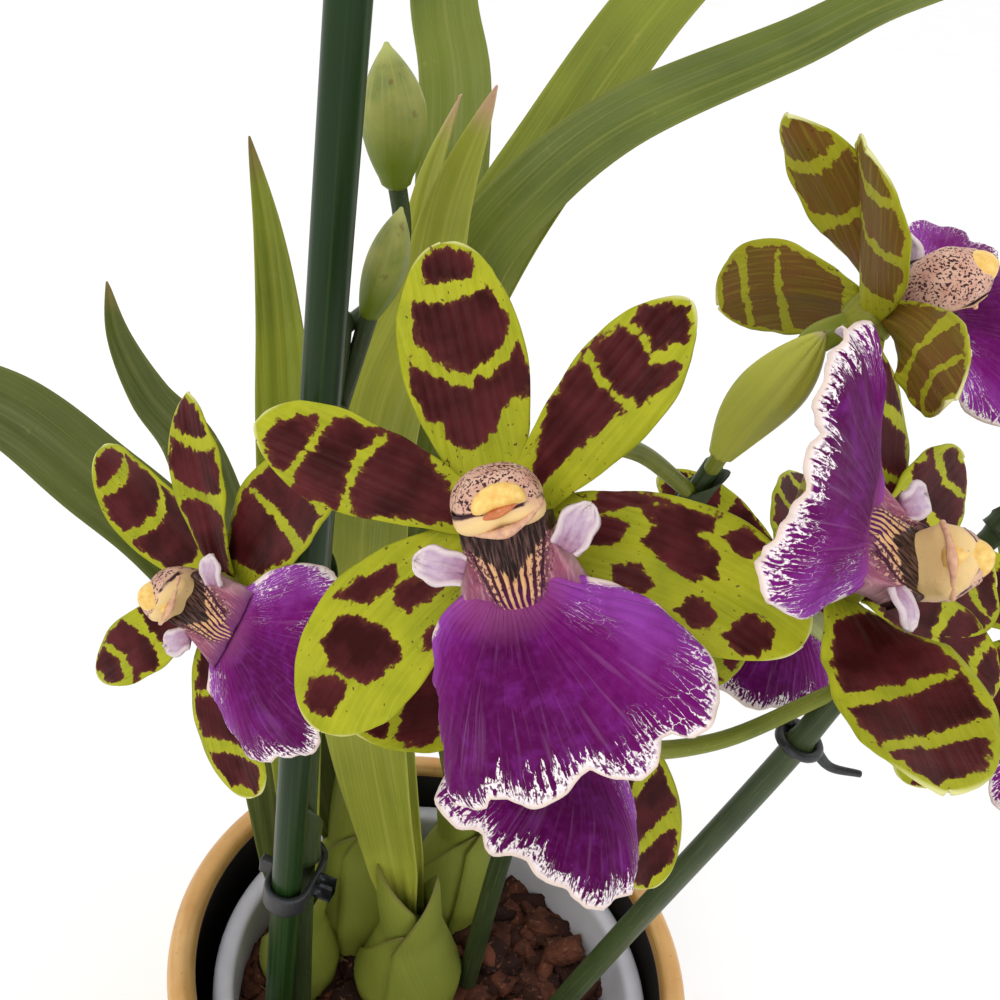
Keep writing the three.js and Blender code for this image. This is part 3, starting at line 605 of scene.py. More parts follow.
def tepalMaterial(name, look, back=False):
    made, tree, shader = newMaterial(name, look["roughness"], 0.08)
    mark = readMark(tree, "mark")
    ragged = surfaceNoise(tree, 27, 15, 3.0, 0.5)
    crumbs = surfaceNoise(tree, 110, 60, 3.0, 0.6)
    jag = plus(tree, plus(tree, mark, stray(tree, ragged, 3.0)), stray(tree, crumbs, 0.4))
    blotch = spread(tree, jag, -0.12, 0.12)
    cloud = bodyNoise(tree, 140.0)
    veins = surfaceNoise(tree, 75, 2.2, 2.0, 0.5)
    if back:
        green = mixColor(tree, cloud, look["backGreen"], look["green"])
        dark = blend(tree, look["backBlotch"], look["backSoft"], cloud, 0.3, 0.7)
        blotch = times(tree, blotch, look["blotchShare"])
    else:
        green = blend(tree, look["green"], look["deepGreen"], cloud, 0.35, 0.7)
        dark = blend(tree, look["blotch"], look["blotchSoft"], cloud, 0.35, 0.75)
    green = blend(tree, green, look["vein"], veins, 0.45, 0.75, 0.0, 0.3)
    dark = blend(tree, dark, look["blotchVein"], veins, 0.5, 0.74, 0.0, look["blotchVeinShare"])
    green = blend(tree, green, look["rim"], readMark(tree, "edge"), 0.1, 0.8, 1.0, 0.0)
    dark = blend(tree, dark, look["blotchEdge"], jag, 0.1, 0.7, 0.45, 0.0)
    color = mixColor(tree, blotch, green, dark)
    # fine dark specks near the base
    dots = surfaceNoise(tree, 62, 44, 2.0, 0.5, 0.4)
    near = spread(tree, readMark(tree, "along"), 4.0, 13.0, 0.05, 0.0)
    speck = spread(tree, plus(tree, dots, near), 0.69, 0.72)
    color = mixColor(tree, times(tree, speck, 0.8), color, look["speck"])
    addGlow(shader, 0.1, (2, 1.6, 0.8))
    grain = surfaceNoise(tree, 150, 90, 2.0)
    relief = plus(tree, times(tree, veins, 0.8), times(tree, grain, 0.3))
    finishSkin(tree, shader, color, relief, 0.45, 0.3)
    return made


tepalFront = tepalMaterial("tepal front", tepalLook)
tepalBack = tepalMaterial("tepal back", tepalBackLook, back=True)
tepalSkins = [tepalFront, tepalBack, tepalFront]

mainTepal = {"rows": 110, "cols": 52, "thickness": 0.75, "rooted": 0}
sideTepal = {"rows": 58, "cols": 26, "thickness": 0.75, "rooted": 1.2}
tepalMarks = ("mark", "edge", "along")


def movedShape(name, pose):
    shape = dict(tepalShapes[name])
    turned, lifted, twist = pose.get("moved", {}).get(name, (0, 0, 0))
    shape["angle"] += turned
    shape["rise"] += lifted
    shape["twist"] = twist
    return shape


for letter, pose in flowerPoses.items():
    world = flowerWorld(pose)
    if letter == "a":
        rows, cols = mainTepal["rows"], mainTepal["cols"]
        for name in tepalShapes:
            bm = startMesh(*tepalMarks)
            shape = tepalShape(movedShape(name, pose), rows, mainTepal["rooted"], name,
                               outlines=blotchOutlines[name])
            layGrid(bm, rows, cols, shape, world)
            finishPiece(bm, f"{name}_a_blade", tepalSkins, [f"{name}_a"], mainTepal["thickness"])
    else:
        rows, cols = sideTepal["rows"], sideTepal["cols"]
        bm = startMesh(*tepalMarks)
        for name in tepalShapes:
            shape = tepalShape(movedShape(name, pose), rows, sideTepal["rooted"], name + letter,
                               bands=bandSets[name])
            layGrid(bm, rows, cols, shape, world)
        finishPiece(bm, f"tepals_{letter}_blades", tepalSkins, [f"tepals_{letter}"],
                    sideTepal["thickness"])
print("tepals made")


# ---- lips: a broad blade, its throat, side lobes and ribbed callus ----

lipValues = {"reach": 30, "foot": 1.5, "spread": 76, "lobe": 46, "narrow": 0.5, "tilt": 36, "drop": 36,
             "y": -6.6, "z": 5.4, "thickness": 0.7, "marginPart": 0.82}

# The front flower's lip edge: fan angle in degrees from the viewer's right round to the left, then the radius
# there and how wide the white margin is.
mainEdge = [(-76, 15, 0.5), (-70, 20, 0.7), (-66, 23.3, 0.9), (-60, 27.6, 1.6), (-54, 30.4, 3),
            (-48, 32.2, 3.6), (-42, 32.7, 3.4), (-38, 32, 2.6), (-36, 29.8, 2.4), (-33, 29.2, 2.6),
            (-28, 31.3, 4.2), (-23, 31.6, 5), (-18, 29.6, 5), (-14, 27, 3.4), (-11, 27.2, 3.6),
            (-6, 28.7, 5.4), (0, 29.4, 5.6), (6, 29.7, 5.4), (12, 29, 5), (16, 29, 4), (19, 31, 3.4),
            (25, 32.8, 3.4), (31, 32.4, 3), (38, 29.5, 3), (46, 26, 2.6), (56, 22.6, 1.4), (66, 19.5, 0.7),
            (76, 14, 0.5)]


# The same for another flower, with notches between its middle and its sides.
def sideEdge(seed):
    phases = wavePhases("lip edge " + seed, 3)
    rows = []
    for fan in range(-76, 77, 4):
        past = max(0, (abs(fan) - lipValues["lobe"]) / (lipValues["spread"] - lipValues["lobe"]))
        radius = lipValues["reach"] * (1 - lipValues["narrow"] * past ** 1.6)
        radius *= 1 + 0.035 * math.sin(fan * 0.13 + phases[0]) + 0.02 * math.sin(fan * 0.31 + phases[1])
        radius *= 1 - 0.1 * math.exp(-((abs(fan) - 33) / 4) ** 2)
        margin = 1.2 + 3.6 * (1 - past) * (0.75 + 0.25 * math.sin(fan * 0.21 + phases[2]))
        rows.append((fan, radius, margin))
    return rows


# A flower's frame with the lip's own turn added.
def turnedWorld(world, degrees):
    turn = math.radians(degrees)
    basis = np.array([[math.cos(turn), math.sin(turn), 0], [-math.sin(turn), math.cos(turn), 0], [0, 0, 1]])
    return lambda points: world(points @ basis)


def lipShape(pose, edge, seed):
    values = lipValues
    waves = wavePhases("lip " + seed, 5)
    knots = np.array(edge, float)
    tilted = pose.get("lipTilt", values["tilt"])
    rolled = pose["rolled"]

    def place(u, v):
        fanDeg = v * values["spread"]
        fan = np.radians(fanDeg)
        rim = np.interp(fanDeg, knots[:, 0], knots[:, 1])
        margin = np.interp(fanDeg, knots[:, 0], knots[:, 2]) * values["marginPart"]
        radius = values["foot"] + (rim - values["foot"]) * u ** 0.9
        down = radius * np.cos(fan)
        across = -radius * np.sin(fan)
        tilt = np.radians(tilted - values["drop"] * (down / values["reach"]))
        chord = np.radians(tilted - 0.5 * values["drop"] * (down / values["reach"]))
        tightness = 2 * np.where(across < 0, rolled[0], rolled[1])
        bend = tightness * across
        back = (1 - np.cos(bend)) / tightness
        points = np.stack([np.sin(bend) / tightness,
                           values["y"] - down * np.cos(chord) - back * np.sin(tilt),
                           values["z"] + down * np.sin(chord) - back * np.cos(tilt)], 1)
        normal = np.stack([np.sin(bend), np.cos(bend) * np.sin(tilt), np.cos(bend) * np.cos(tilt)], 1)
        # broad ruffles, finer ones towards the rim, ribs along the fan, and the shoulders that stand up
        out = np.maximum(0, u - 0.35) / 0.65
        lift = 0.9 * out ** 2.5 * np.sin(fanDeg * 0.16 + waves[0])
        lift += 0.65 * out ** 4 * np.sin(fanDeg * 0.43 + waves[1])
        lift += 0.25 * out ** 5 * np.sin(fanDeg * 0.95 + waves[2])
        ribs = np.sin(fanDeg * 1.15 + 1.2 * np.sin(radius * 0.5 + waves[3]))
        lift += 0.14 * ribs * np.minimum(1, 2 * u) * (1 - 0.6 * out)
        lift += 0.3 * np.sin(radius * 0.42 + waves[4]) * np.cos(fan * 2.2) - 1.4 * out ** 9
        lift += 1.3 * np.abs(v) ** 3 * np.exp(-((radius - 6) / 5) ** 2)
        sideways = (1 - np.abs(v)) * np.radians(values["spread"]) * radius
        found = {"rim": np.minimum(rim - radius, sideways + 1.6 * np.maximum(0, 11 - radius)),
                 "margin": margin, "fan": fanDeg, "reach": radius, "thick": 0.3 + 0.7 * (1 - u ** 8)}
        return points + normal * lift[:, None], np.stack([-radius * fan, radius], 1), found

    return place


lipLook = {"deep": "4f0245", "body": "690b62", "violet": "8c3c9c", "margin": "ece2e4", "vein": "b382b4",
           "mottle": "94409a", "patch": "862c98", "throatEnd": "9c4f86", "edge": "dfccc2",
           "backVeil": "b3a4b8", "roughness": 0.5}


def lipMaterial(name, back=False):
    look = lipLook
    made, tree, shader = newMaterial(name, look["roughness"], 0.06)
    fan, reach = readMark(tree, "fan"), readMark(tree, "reach")
    rim, margin = readMark(tree, "rim"), readMark(tree, "margin")

    def fanNoise(across, along, detail, rough, warp=0.0):
        spot = flatVector(tree, times(tree, fan, across), times(tree, reach, along))
        return noiseOf(tree, spot, 1.0, detail, rough, warp)

    # a net of white veins that widen into the white margin
    wander = stray(tree, bodyNoise(tree, 330.0, 3.0, 0.6), 2.1)
    across = plus(tree, times(tree, fan, 0.6), wander)
    net = cellsOf(tree, flatVector(tree, across, plus(tree, times(tree, reach, 0.25), wander)))
    crumbs = fanNoise(0.9, 1.1, 3.0, 0.65)
    streaks = fanNoise(0.7, 0.13, 3.0, 0.6)
    solid = minus(tree, 1.0, maths(tree, "DIVIDE", rim, margin))
    solid = plus(tree, plus(tree, solid, stray(tree, streaks, 2.6)), stray(tree, crumbs, 0.9))
    # towards the sides the veins run further in, most of all on the viewer's right
    reached = larger(tree, spread(tree, fan, -22.0, -34.0, 1.25, 3.4),
                     spread(tree, fan, 24.0, 40.0, 1.25, 2.9))
    far = minus(tree, 1.0, maths(tree, "DIVIDE", rim, times(tree, margin, reached)))
    width = larger(tree, spread(tree, solid, 0.0, 1.2, 0.0, 0.42), spread(tree, far, 0.05, 0.8, 0.0, 0.075))
    width = times(tree, width, spread(tree, crumbs, 0.32, 0.5, 0.35, 1.0))
    white = spread(tree, minus(tree, width, net), 0.0, 0.045)
    # purple dots left inside the white
    dots = fanNoise(1.3, 1.5, 2.0, 0.6)
    kept = times(tree, spread(tree, dots, 0.5, 0.57, 0.0, 0.92), spread(tree, rim, 0.5, 1.3))
    white = times(tree, white, minus(tree, 1.0, kept))
    # the body: deep in the middle, violet towards the sides
    outward = spread(tree, maths(tree, "ABSOLUTE", plus(tree, fan, -4.0)), 14.0, 70.0)
    cloud = bodyNoise(tree, 150.0, 4.0, 0.6)
    outward = maths(tree, "ADD", outward, stray(tree, cloud, 0.8), clamp=True)
    body = blend(tree, look["deep"], look["body"], outward, 0.0, 0.55)
    body = blend(tree, body, look["violet"], outward, 0.6, 1.0)
    lines = fanNoise(0.5, 0.07, 2.0, 0.5, 0.2)
    body = blend(tree, body, look["vein"], lines, 0.56, 0.76, 0.0, 0.17)
    mottle = bodyNoise(tree, 900.0, 2.0)
    body = blend(tree, body, look["mottle"], mottle, 0.45, 0.8, 0.0, 0.12)
    body = blend(tree, body, look["patch"], bodyNoise(tree, 240.0, 4.0, 0.7, 0.6), 0.5, 0.78, 0.0, 0.45)
    body = blend(tree, body, look["throatEnd"], reach, 5.0, 10.0, 0.6, 0.0)
    color = mixColor(tree, white, body, look["margin"])
    color = blend(tree, color, look["edge"], rim, 0.3, 0.75, 1.0, 0.0)
    if back:
        color = blend(tree, color, look["backVeil"], cloud, 0.2, 0.8, 0.55, 0.75)
    addGlow(shader, 0.08, (1.6, 0.8, 2))
    relief = plus(tree, times(tree, lines, 1.2), times(tree, mottle, 0.35))
    finishSkin(tree, shader, color, relief, 0.6, 0.35)
    return made


lipFront = lipMaterial("lip front")
lipBack = lipMaterial("lip back", back=True)
lipMarks = ("rim", "margin", "fan", "reach")

# The throat: mauve walls each side of a ribbed cream cushion, with painted shade at the top where the
# column's shadow falls.
throatValues = {"top": 0.9, "bottom": -11.6, "half": 6.3, "flare": 3.6, "cushionTop": 6.9,
                "cushionBottom": 2.9, "proud": 1.5, "ridges": 8, "ridge": 0.24, "deepTop": 8.9,
                "deepBottom": 7.6, "wall": 1.5, "wallPlace": 0.84, "thickness": 0.9}


def throatShape(lean, rolled):
    values = throatValues

    def place(u, v):
        half = values["half"] + values["flare"] * u ** 1.6
        middle = lean * (0.75 - 0.1 * u)
        x = -v * half
        cushion = values["cushionTop"] + (values["cushionBottom"] - values["cushionTop"]) * u ** 0.9
        around = x / cushion
        inside = np.clip(1 - around ** 4, 0, 1)
        y = values["top"] + (values["bottom"] - values["top"]) * u + 1.1 * np.abs(v) ** 2 * u
        z = values["deepTop"] + (values["deepBottom"] - values["deepTop"]) * u
        ends = np.clip(u / 0.06, 0, 1) * np.clip((1 - u) / 0.16, 0, 1)
        z = z + values["proud"] * np.sqrt(inside) * ends
        ridges = np.cos(around * np.pi * values["ridges"])
        z = z + values["ridge"] * ridges * inside * ends * np.clip(u * 2.2 - 0.4, 0, 1)
        z = z + values["wall"] * np.exp(-((np.abs(v) - values["wallPlace"]) / 0.12) ** 2) * (1 - u) ** 0.7
        z = z - 3.4 * np.clip((np.abs(v) - 0.86) / 0.14, 0, 1) ** 1.5 * (1 - 0.6 * u)
        tightness = 2 * np.where(x > 0, rolled[1], rolled[0])
        z = z - (1 - np.cos(tightness * x)) / tightness * u
        found = {"along": u, "around": np.clip(around, -3, 3), "edge": 1 - np.abs(v),
                 "thick": 0.3 + 0.7 * (1 - u ** 6)}
        return np.stack([x + middle, y, z], 1), np.stack([x, y], 1), found

    return place


# The two darkest browns are painted shade under the column.
throatLook = {"cream": "dcb078", "pink": "cb9a78", "groove": "3c1022", "wall": "a05c70",
              "wallDeep": "874662", "wallPale": "d3adb0", "foot": "5d145c", "columnShade": "22100f",
              "columnShadeStreak": "6e4f4a", "side": "c6968c"}


def throatMaterial():
    look = throatLook
    made, tree, shader = newMaterial("throat", 0.42, 0.2)
    u, around, edge = readMark(tree, "along"), readMark(tree, "around"), readMark(tree, "edge")
    apart = maths(tree, "ABSOLUTE", around)
    wander = surfaceNoise(tree, 24, 16)
    fine = surfaceNoise(tree, 120, 75, 2.0, 0.5)
    hairs = surfaceNoise(tree, 95, 12)
    wall = blend(tree, look["wall"], look["wallDeep"], wander, 0.3, 0.7)
    wall = blend(tree, wall, look["wallPale"], hairs, 0.52, 0.7, 0.0, 0.5)
    wall = blend(tree, wall, look["wallPale"], edge, 0.0, 0.22, 0.75, 0.0)
    wall = blend(tree, wall, look["foot"], u, 0.66, 1.0, 0.0, 0.9)
    # the cushion, its dark grooves wider towards its foot
    phase = plus(tree, times(tree, around, math.pi * throatValues["ridges"]), stray(tree, wander, 5.0))
    wide = spread(tree, u, 0.35, 1.0, -0.72, 0.35)
    groove = spread(tree, minus(tree, maths(tree, "COSINE", phase), wide), -0.15, 0.15, 1.0, 0.0)
    cushion = blend(tree, look["cream"], look["pink"], wander, 0.3, 0.7)
    cushion = blend(tree, cushion, look["side"], apart, 0.55, 1.0)
    cushion = mixColor(tree, groove, cushion, blend(tree, look["groove"], look["foot"], u, 0.6, 0.95))
    sides = spread(tree, apart, 0.35, 0.9, 0.0, 0.24)
    dots = spread(tree, plus(tree, fine, sides), 0.66, 0.71)
    cushion = mixColor(tree, times(tree, dots, 0.9), cushion, look["groove"])
    outside = plus(tree, plus(tree, apart, stray(tree, fine, 0.9)), spread(tree, u, 0.8, 1.0, 0.0, 0.9))
    color = blend(tree, cushion, wall, outside, 0.92, 1.12)
    # painted shade: a dark V at the top of the cushion, under the column, with faint streaks in it
    tall = minus(tree, u, times(tree, minus(tree, 1.25, apart), 0.42))
    tall = plus(tree, plus(tree, tall, stray(tree, hairs, 0.22)), spread(tree, apart, 1.05, 1.25, 0.0, 0.6))
    columnShade = blend(tree, look["columnShade"], look["columnShadeStreak"], hairs, 0.46, 0.66)
    color = blend(tree, color, columnShade, tall, 0.1, 0.13, 1.0, 0.0)
    addGlow(shader, 0.12, (2, 1.2, 1.2))
    finishSkin(tree, shader, color, minus(tree, times(tree, hairs, 0.6), times(tree, groove, 0.7)), 0.5, 0.3)
    return made


# A white-lilac lobe that stands out beside the column, from its foot to its tip.
lobeValues = {"half": 2.5, "thickness": 0.8}
lobeLook = {"pale": "c8b2c0", "lilac": "a98cae", "foot": "96607f", "rim": "ddcfd0"}


def lobeShape(foot, tip, seed):
    phase = wavePhases("ear " + seed, 1)[0]
    foot, tip = np.array(foot, float), np.array(tip, float)
    along = (tip - foot) / np.linalg.norm(tip - foot)
    across = unit(np.cross(np.array([0, 0, 1.0]), along))
    up = np.cross(along, across)

    def place(u, v):
        half = lobeValues["half"] * (0.6 + 0.4 * np.sin(np.pi * np.minimum(1, 0.15 + 0.6 * u))) \
            * np.sqrt(np.maximum(0.0004, 1 - np.maximum(0, (u - 0.45) / 0.55) ** 2.6))
        half = half * (1 + 0.07 * np.sin(11 * u + phase) * np.sign(v))
        points = foot + np.outer(u, tip - foot) + np.outer(v * half, across)
        lift = 0.7 * v ** 2 + 0.8 * np.sin(u * 2.6) + 0.16 * np.sin(9 * u + 5 * v + phase)
        lift = lift + 0.1 * np.cos(v * 14)
        points = points + lift[:, None] * up
        found = {"along": u, "edge": half * (1 - np.abs(v)), "thick": 0.4 + 0.6 * (1 - u ** 4)}
        return points, np.stack([v * half, u * 6], 1), found

    return place


def lobeMaterial():
    look = lobeLook
    made, tree, shader = newMaterial("side lobe", 0.5, 0.3)
    cloud = surfaceNoise(tree, 55, 14)
    fine = bodyNoise(tree, 1500.0)
    color = blend(tree, look["pale"], look["lilac"], cloud, 0.3, 0.75)
    foot = plus(tree, readMark(tree, "along"), stray(tree, fine, 0.5))
    color = blend(tree, color, look["foot"], foot, 0.0, 0.5, 0.8, 0.0)
    rim = spread(tree, readMark(tree, "edge"), 0.2, 0.8, 0.8, 0.0)
    color = mixColor(tree, larger(tree, spread(tree, foot, 0.7, 0.95), rim), color, look["rim"])
    addGlow(shader, 0.2, (2, 1.5, 2))
    finishSkin(tree, shader, color, plus(tree, cloud, fine), 0.35, 0.3)
    return made


lobeSkin = lobeMaterial()
throatSkin = throatMaterial()

mainLip = {"rows": 92, "cols": 190, "lobe": (22, 18), "throat": (84, 120), "lean": 2.6,
           "lobes": [([-4.4, -4.4, 9.2], [-10.4, -1.5, 9.8]), ([9.0, -4.4, 9.2], [13.7, 0.4, 9.8])]}
sideLip = {"rows": 46, "cols": 96, "lobe": (10, 8), "throat": (40, 56), "lean": 0.0,
           "lobes": [([-6.4, -4.2, 9.0], [-11.2, -1.0, 9.6]), ([6.4, -4.2, 9.0], [11.2, -1.0, 9.6])]}

for letter, pose in flowerPoses.items():
    values = mainLip if letter == "a" else sideLip
    turned = turnedWorld(flowerWorld(pose), pose.get("lipTurn", 0))
    bm = startMesh(*lipMarks)
    edge = mainEdge if letter == "a" else sideEdge(letter)
    layGrid(bm, values["rows"], values["cols"], lipShape(pose, edge, letter), turned)
    finishPiece(bm, f"lip_{letter}_blade", [lipFront, lipBack, lipFront], [f"lip_{letter}"],
                lipValues["thickness"])
    bm = startMesh("along", "around", "edge")
    layGrid(bm, *values["throat"], throatShape(values["lean"], pose["rolled"]), turned)
    finishPiece(bm, f"lip_{letter}_throat", [throatSkin], (), throatValues["thickness"], -1.0)
    bm = startMesh("along", "edge")
    for number, (foot, tip) in enumerate(values["lobes"]):
        layGrid(bm, *values["lobe"], lobeShape(foot, tip, f"{letter}{number}"), turned)
    finishPiece(bm, f"lip_{letter}_side_lobes", [lobeSkin], (), lobeValues["thickness"])
print("lips made")


# ---- columns: a speckled hood, the pale wings below it, and the anther ----

columnValues = {"hood": 0.8, "under": 0.5, "wing": 0.17}
mainColumn = {"width": 11.6, "lean": 3.0, "raised": 1.6, "end": 16.2, "steps": 26, "sides": 56, "dome": 0.42}
sideColumn = {"width": 10.2, "lean": 0.0, "raised": 0.0, "end": 14.6, "steps": 14, "sides": 28, "dome": 0.9}
columnLook = {"cream": "d6ae98", "pink": "c2917f", "speck": "35101c", "rim": "e4c488", "base": "4a1f2c"}

# What sits at the column's end, as places from there.
mainAnther = [[-2.9, -0.7, 1.1], [-1.6, 0.6, 1.75], [0.4, 1.2, 1.9], [2.4, 1.0, 1.75], [3.5, 0.2, 1.1]]
sideAnther = [[0, 0.2, 0.2], [0, 0.2, 2.6], [0, -0.2, 4.8]]
stigmaPlaces = [[-2.0, -1.1, 1.7], [0.3, -0.75, 2.1], [2.5, -0.15, 1.7]]
rimPlaces = [[-5.0, -1.6, -0.6], [-2.6, -2.9, 0.5], [0.4, -3.3, 0.9], [3.0, -2.4, 0.5], [5.2, -0.6, -0.6]]


def columnMaterial(name, stained):
    look = columnLook
    made, tree, shader = newMaterial(name, 0.42, 0.25)
    t, top = readMark(tree, "along"), readMark(tree, "around")
    color = blend(tree, look["cream"], look["pink"], bodyNoise(tree, 420.0), 0.35, 0.7)
    color = blend(tree, color, look["rim"], top, 0.15, -0.35)
    dots = bodyNoise(tree, 2500.0, 2.0, 0.5, 0.3)
    patches = bodyNoise(tree, 500.0, 1.0)
    bare = plus(tree, spread(tree, top, 0.3, -0.25, 0.0, -0.2), spread(tree, patches, 0.3, 0.7, -0.03, 0.04))
    color = blend(tree, color, look["speck"], plus(tree, dots, bare), 0.545, 0.575)
    # a dark line along each side near the end
    stripe = spread(tree, maths(tree, "ABSOLUTE", plus(tree, top, 0.02)), 0.05, 0.11, 1.0, 0.0)
    stripe = times(tree, times(tree, stripe, spread(tree, t, 0.62, 0.72)), spread(tree, patches, 0.35, 0.5))
    color = mixColor(tree, stripe, color, look["speck"])
    color = blend(tree, color, look["base"], t, 0.06, stained, 0.9, 0.0)
    addGlow(shader, 0.12, (2, 1.2, 0.8))
    finishSkin(tree, shader, color, bodyNoise(tree, 2200.0, 2.0), 0.3, 0.2)
    return made


def plainPetalSkin(name, light, dark, roughness=0.4, scale=900.0):
    made, tree, shader = newMaterial(name, roughness, 0.45)
    cloud = bodyNoise(tree, scale)
    addGlow(shader, 0.25, (2, 1.4, 0.6))
    finishSkin(tree, shader, blend(tree, light, dark, cloud, 0.3, 0.7), cloud, 0.3, 0.2)
    return made


columnSkin = columnMaterial("column", 0.3)
sideColumnSkin = columnMaterial("side column", 0.55)
antherSkin = plainPetalSkin("anther yellow", "efd07c", "dfae52")
stigmaSkin = plainPetalSkin("stigma orange", "cf8148", "b05c35", 0.25)
lipletSkin = plainPetalSkin("column rim", "dcb28a", "c08c78", 0.42, 1300.0)


# Full on top, flatter underneath, with a corner at each side near the end.
def hooded(part, angle):
    height = np.where(np.sin(angle) > 0, columnValues["hood"], columnValues["under"])
    corner = np.exp(-((angle + 0.38) / 0.34) ** 2) + np.exp(-((angle + math.pi - 0.38) / 0.34) ** 2)
    corner = corner * columnValues["wing"] * np.exp(-((part - 0.97) / 0.16) ** 2)
    return np.sqrt(np.cos(angle) ** 2 + (height * np.sin(angle)) ** 2) + corner


for letter, pose in flowerPoses.items():
    main = letter == "a"
    values = mainColumn if main else sideColumn
    lean, raised = values["lean"], values["raised"]
    placed = flowerWorld(pose)
    line = curveThrough([[0, 0.4, 1.7], [lean * 0.3, 1.6 + raised * 0.5, 7], [lean * 0.75, 1.8 + raised, 12],
                         [lean, 0.9 + raised, values["end"]]], values["steps"])
    t = np.linspace(0, 1, len(line))
    width = 0.6 + 0.42 * np.sin(np.pi / 2 * np.minimum(1, t * 1.3)) - 0.2 * np.maximum(0, t - 0.72) ** 1.2 * 3
    bm = startMesh("along", "around")
    layTube(bm, line, values["width"] / 2 * width, values["sides"], hooded, values["dome"], placed)
    finishPiece(bm, f"column_{letter}_body", [columnSkin if main else sideColumnSkin],
                [f"column_{letter}"], recalc=True)
    end = line[-1]
    bm = startMesh()
    t = np.linspace(0, 1, 21)
    if main:
        swollen = 0.5 + 1.05 * np.sin(np.pi * t) ** 0.8
    else:
        swollen = 3.3 * np.sqrt(1 - 0.97 * t ** 1.6) + 0.1
    arc = curveThrough(end + np.array(mainAnther if main else sideAnther), 20)
    layTube(bm, arc, swollen, 20, world=placed)
    finishPiece(bm, f"column_{letter}_anther", [antherSkin], ["anther_cap_a"] if main else (),
                recalc=True)
    bm = startMesh()
    slit = curveThrough(end + np.array(stigmaPlaces), 16)
    layTube(bm, slit, 0.25 + 0.42 * np.sin(np.pi * np.linspace(0, 1, 17)), 16, world=placed)
    finishPiece(bm, f"column_{letter}_stigma", [stigmaSkin], recalc=True)
    bm = startMesh()
    fold = 0.42 + 0.32 * np.exp(-((np.linspace(0, 1, 25) - 0.5) / 0.13) ** 2)
    layTube(bm, curveThrough(end + np.array(rimPlaces), 24), fold, 16, world=placed)
    finishPiece(bm, f"column_{letter}_rim", [lipletSkin], recalc=True)
print("columns made")


# ---- stems, stalks and buds ----

spikes = {
    "spike_1": {"radii": [3, 1.8], "nodes": [0.3, 0.55, 0.8],
                "points": [[-31, -12, 88], [-38, -13.6, 180], [-43.5, -14.4, 270], [-44.8, -13.8, 311]]},
    "spike_2": {"radii": [3, 1.7], "nodes": [0.37, 0.62, 0.84], "clipped": 0.37,
                "points": [[24, -9, 86], [40, -17, 170], [54.7, -25, 246], [59, -24.5, 264], [67, -20, 284],
                           [75.5, -15.5, 300], [86, -13, 320]]},
    "spike_3": {"radii": [3, 1.9], "nodes": [0.3, 0.6, 0.93],
                "points": [[12, 12, 88], [11, 6, 180], [16, -4, 250], [25.5, -9, 297]]},
}
pedicels = {
    "a": {"spike": "spike_3", "place": 0.95, "points": [[9, -24, 304], [-2, -40, 310]]},
    "b": {"spike": "spike_2", "place": 0.5, "points": [[39, -30, 250.4], [21, -36, 249]]},
    "c": {"spike": "spike_1", "place": 0.7, "points": [[-48.5, -14, 253], [-49.4, -22, 257]]},
    "d": {"spike": "spike_2", "place": 0.62, "points": [[56, -31, 280], [43, -45, 292]]},
    "e": {"spike": "spike_3", "place": 1,
          "points": [[26.2, -12.6, 304], [28.6, -17.6, 314], [30, -22.6, 324]]},
    "f": {"spike": "spike_2", "place": 0.84, "points": [[83, -15, 292]]},
    "g": {"spike": "spike_3", "place": 0.6, "points": [[21, 9, 240], [35, 21, 248]]},
}
stalkValues = {"radii": [1.5, 2.2], "budRadii": [1.4, 1.7], "into": 0.6, "behind": 9}
jointValues = {"swell": 0.5, "swellLength": 0.012, "bractRows": 8, "bractLength": 0.09, "bractRadius": 0.5,
               "bractReach": 2.4, "bractPoint": 0.75, "flare": 0.9, "thickness": 0.5}
flowerBase = {"places": [-core["back"], -2.4, -1.0, 0.4, core["front"]], "radii": [3.4, 4.1, 4.5, 4.3, 3.7]}
buds = {
    "bud_1": {"spike": "spike_1", "place": 0.98, "stalk": [[-40, 0, 312], [-39, 2, 321], [-41.8, 1, 333]],
              "tip": [-46.5, 2, 353], "radius": 5.9},
    "bud_2": {"spike": "spike_1", "place": 0.84, "stalk": [[-40.4, -12.4, 313]], "tip": [-38, -11, 331],
              "radius": 3.8},
}


def stemMaterial(name, light, dark, fleck, roughness=0.42):
    made, tree, shader = newMaterial(name, roughness, 0.25)
    color = blend(tree, light, dark, bodyNoise(tree, 120.0, stretch=(1, 1, 0.35)), 0.3, 0.72)
    lines = surfaceNoise(tree, 70, 2.5)
    color = blend(tree, color, fleck, lines, 0.5, 0.78, 0.0, 0.5)
    color = blend(tree, color, fleck, bodyNoise(tree, 1300.0, 1.0), 0.7, 0.74, 0.0, 0.5)
    addGlow(shader, 0.08, (1, 1.4, 0.4))
    finishSkin(tree, shader, color, lines, 0.3, 0.3)
    return made


spikeSkin = stemMaterial("spike skin", "3a4726", "25331a", "5e6440")
stalkSkin = stemMaterial("stalk skin", "83882a", "5f6c1f", "a09e45")
coreSkin = stemMaterial("flower base", "8f8f28", "6b7320", "5e3024")

budLook = {"pale": "9c9c50", "green": "75803c", "line": "a9a85c", "spot": "6b4a2c", "foot": "5f7008",
           "tip": "b3b86a"}


def budMaterial():
    look = budLook
    made, tree, shader = newMaterial("bud skin", 0.4, 0.25)
    along = readMark(tree, "along")
    lines = surfaceNoise(tree, 60, 3)
    color = blend(tree, look["pale"], look["green"], bodyNoise(tree, 190.0), 0.3, 0.7)
    color = blend(tree, color, look["line"], lines, 0.5, 0.8, 0.0, 0.6)
    color = blend(tree, color, look["spot"], bodyNoise(tree, 330.0), 0.62, 0.68, 0.0, 0.55)
    color = blend(tree, color, look["foot"], along, 0.6, 0.12, 0.0, 0.95)
    color = blend(tree, color, look["tip"], along, 0.85, 1.0)
    finishSkin(tree, shader, color, lines, 0.4, 0.3)
    return made


budSkin = budMaterial()


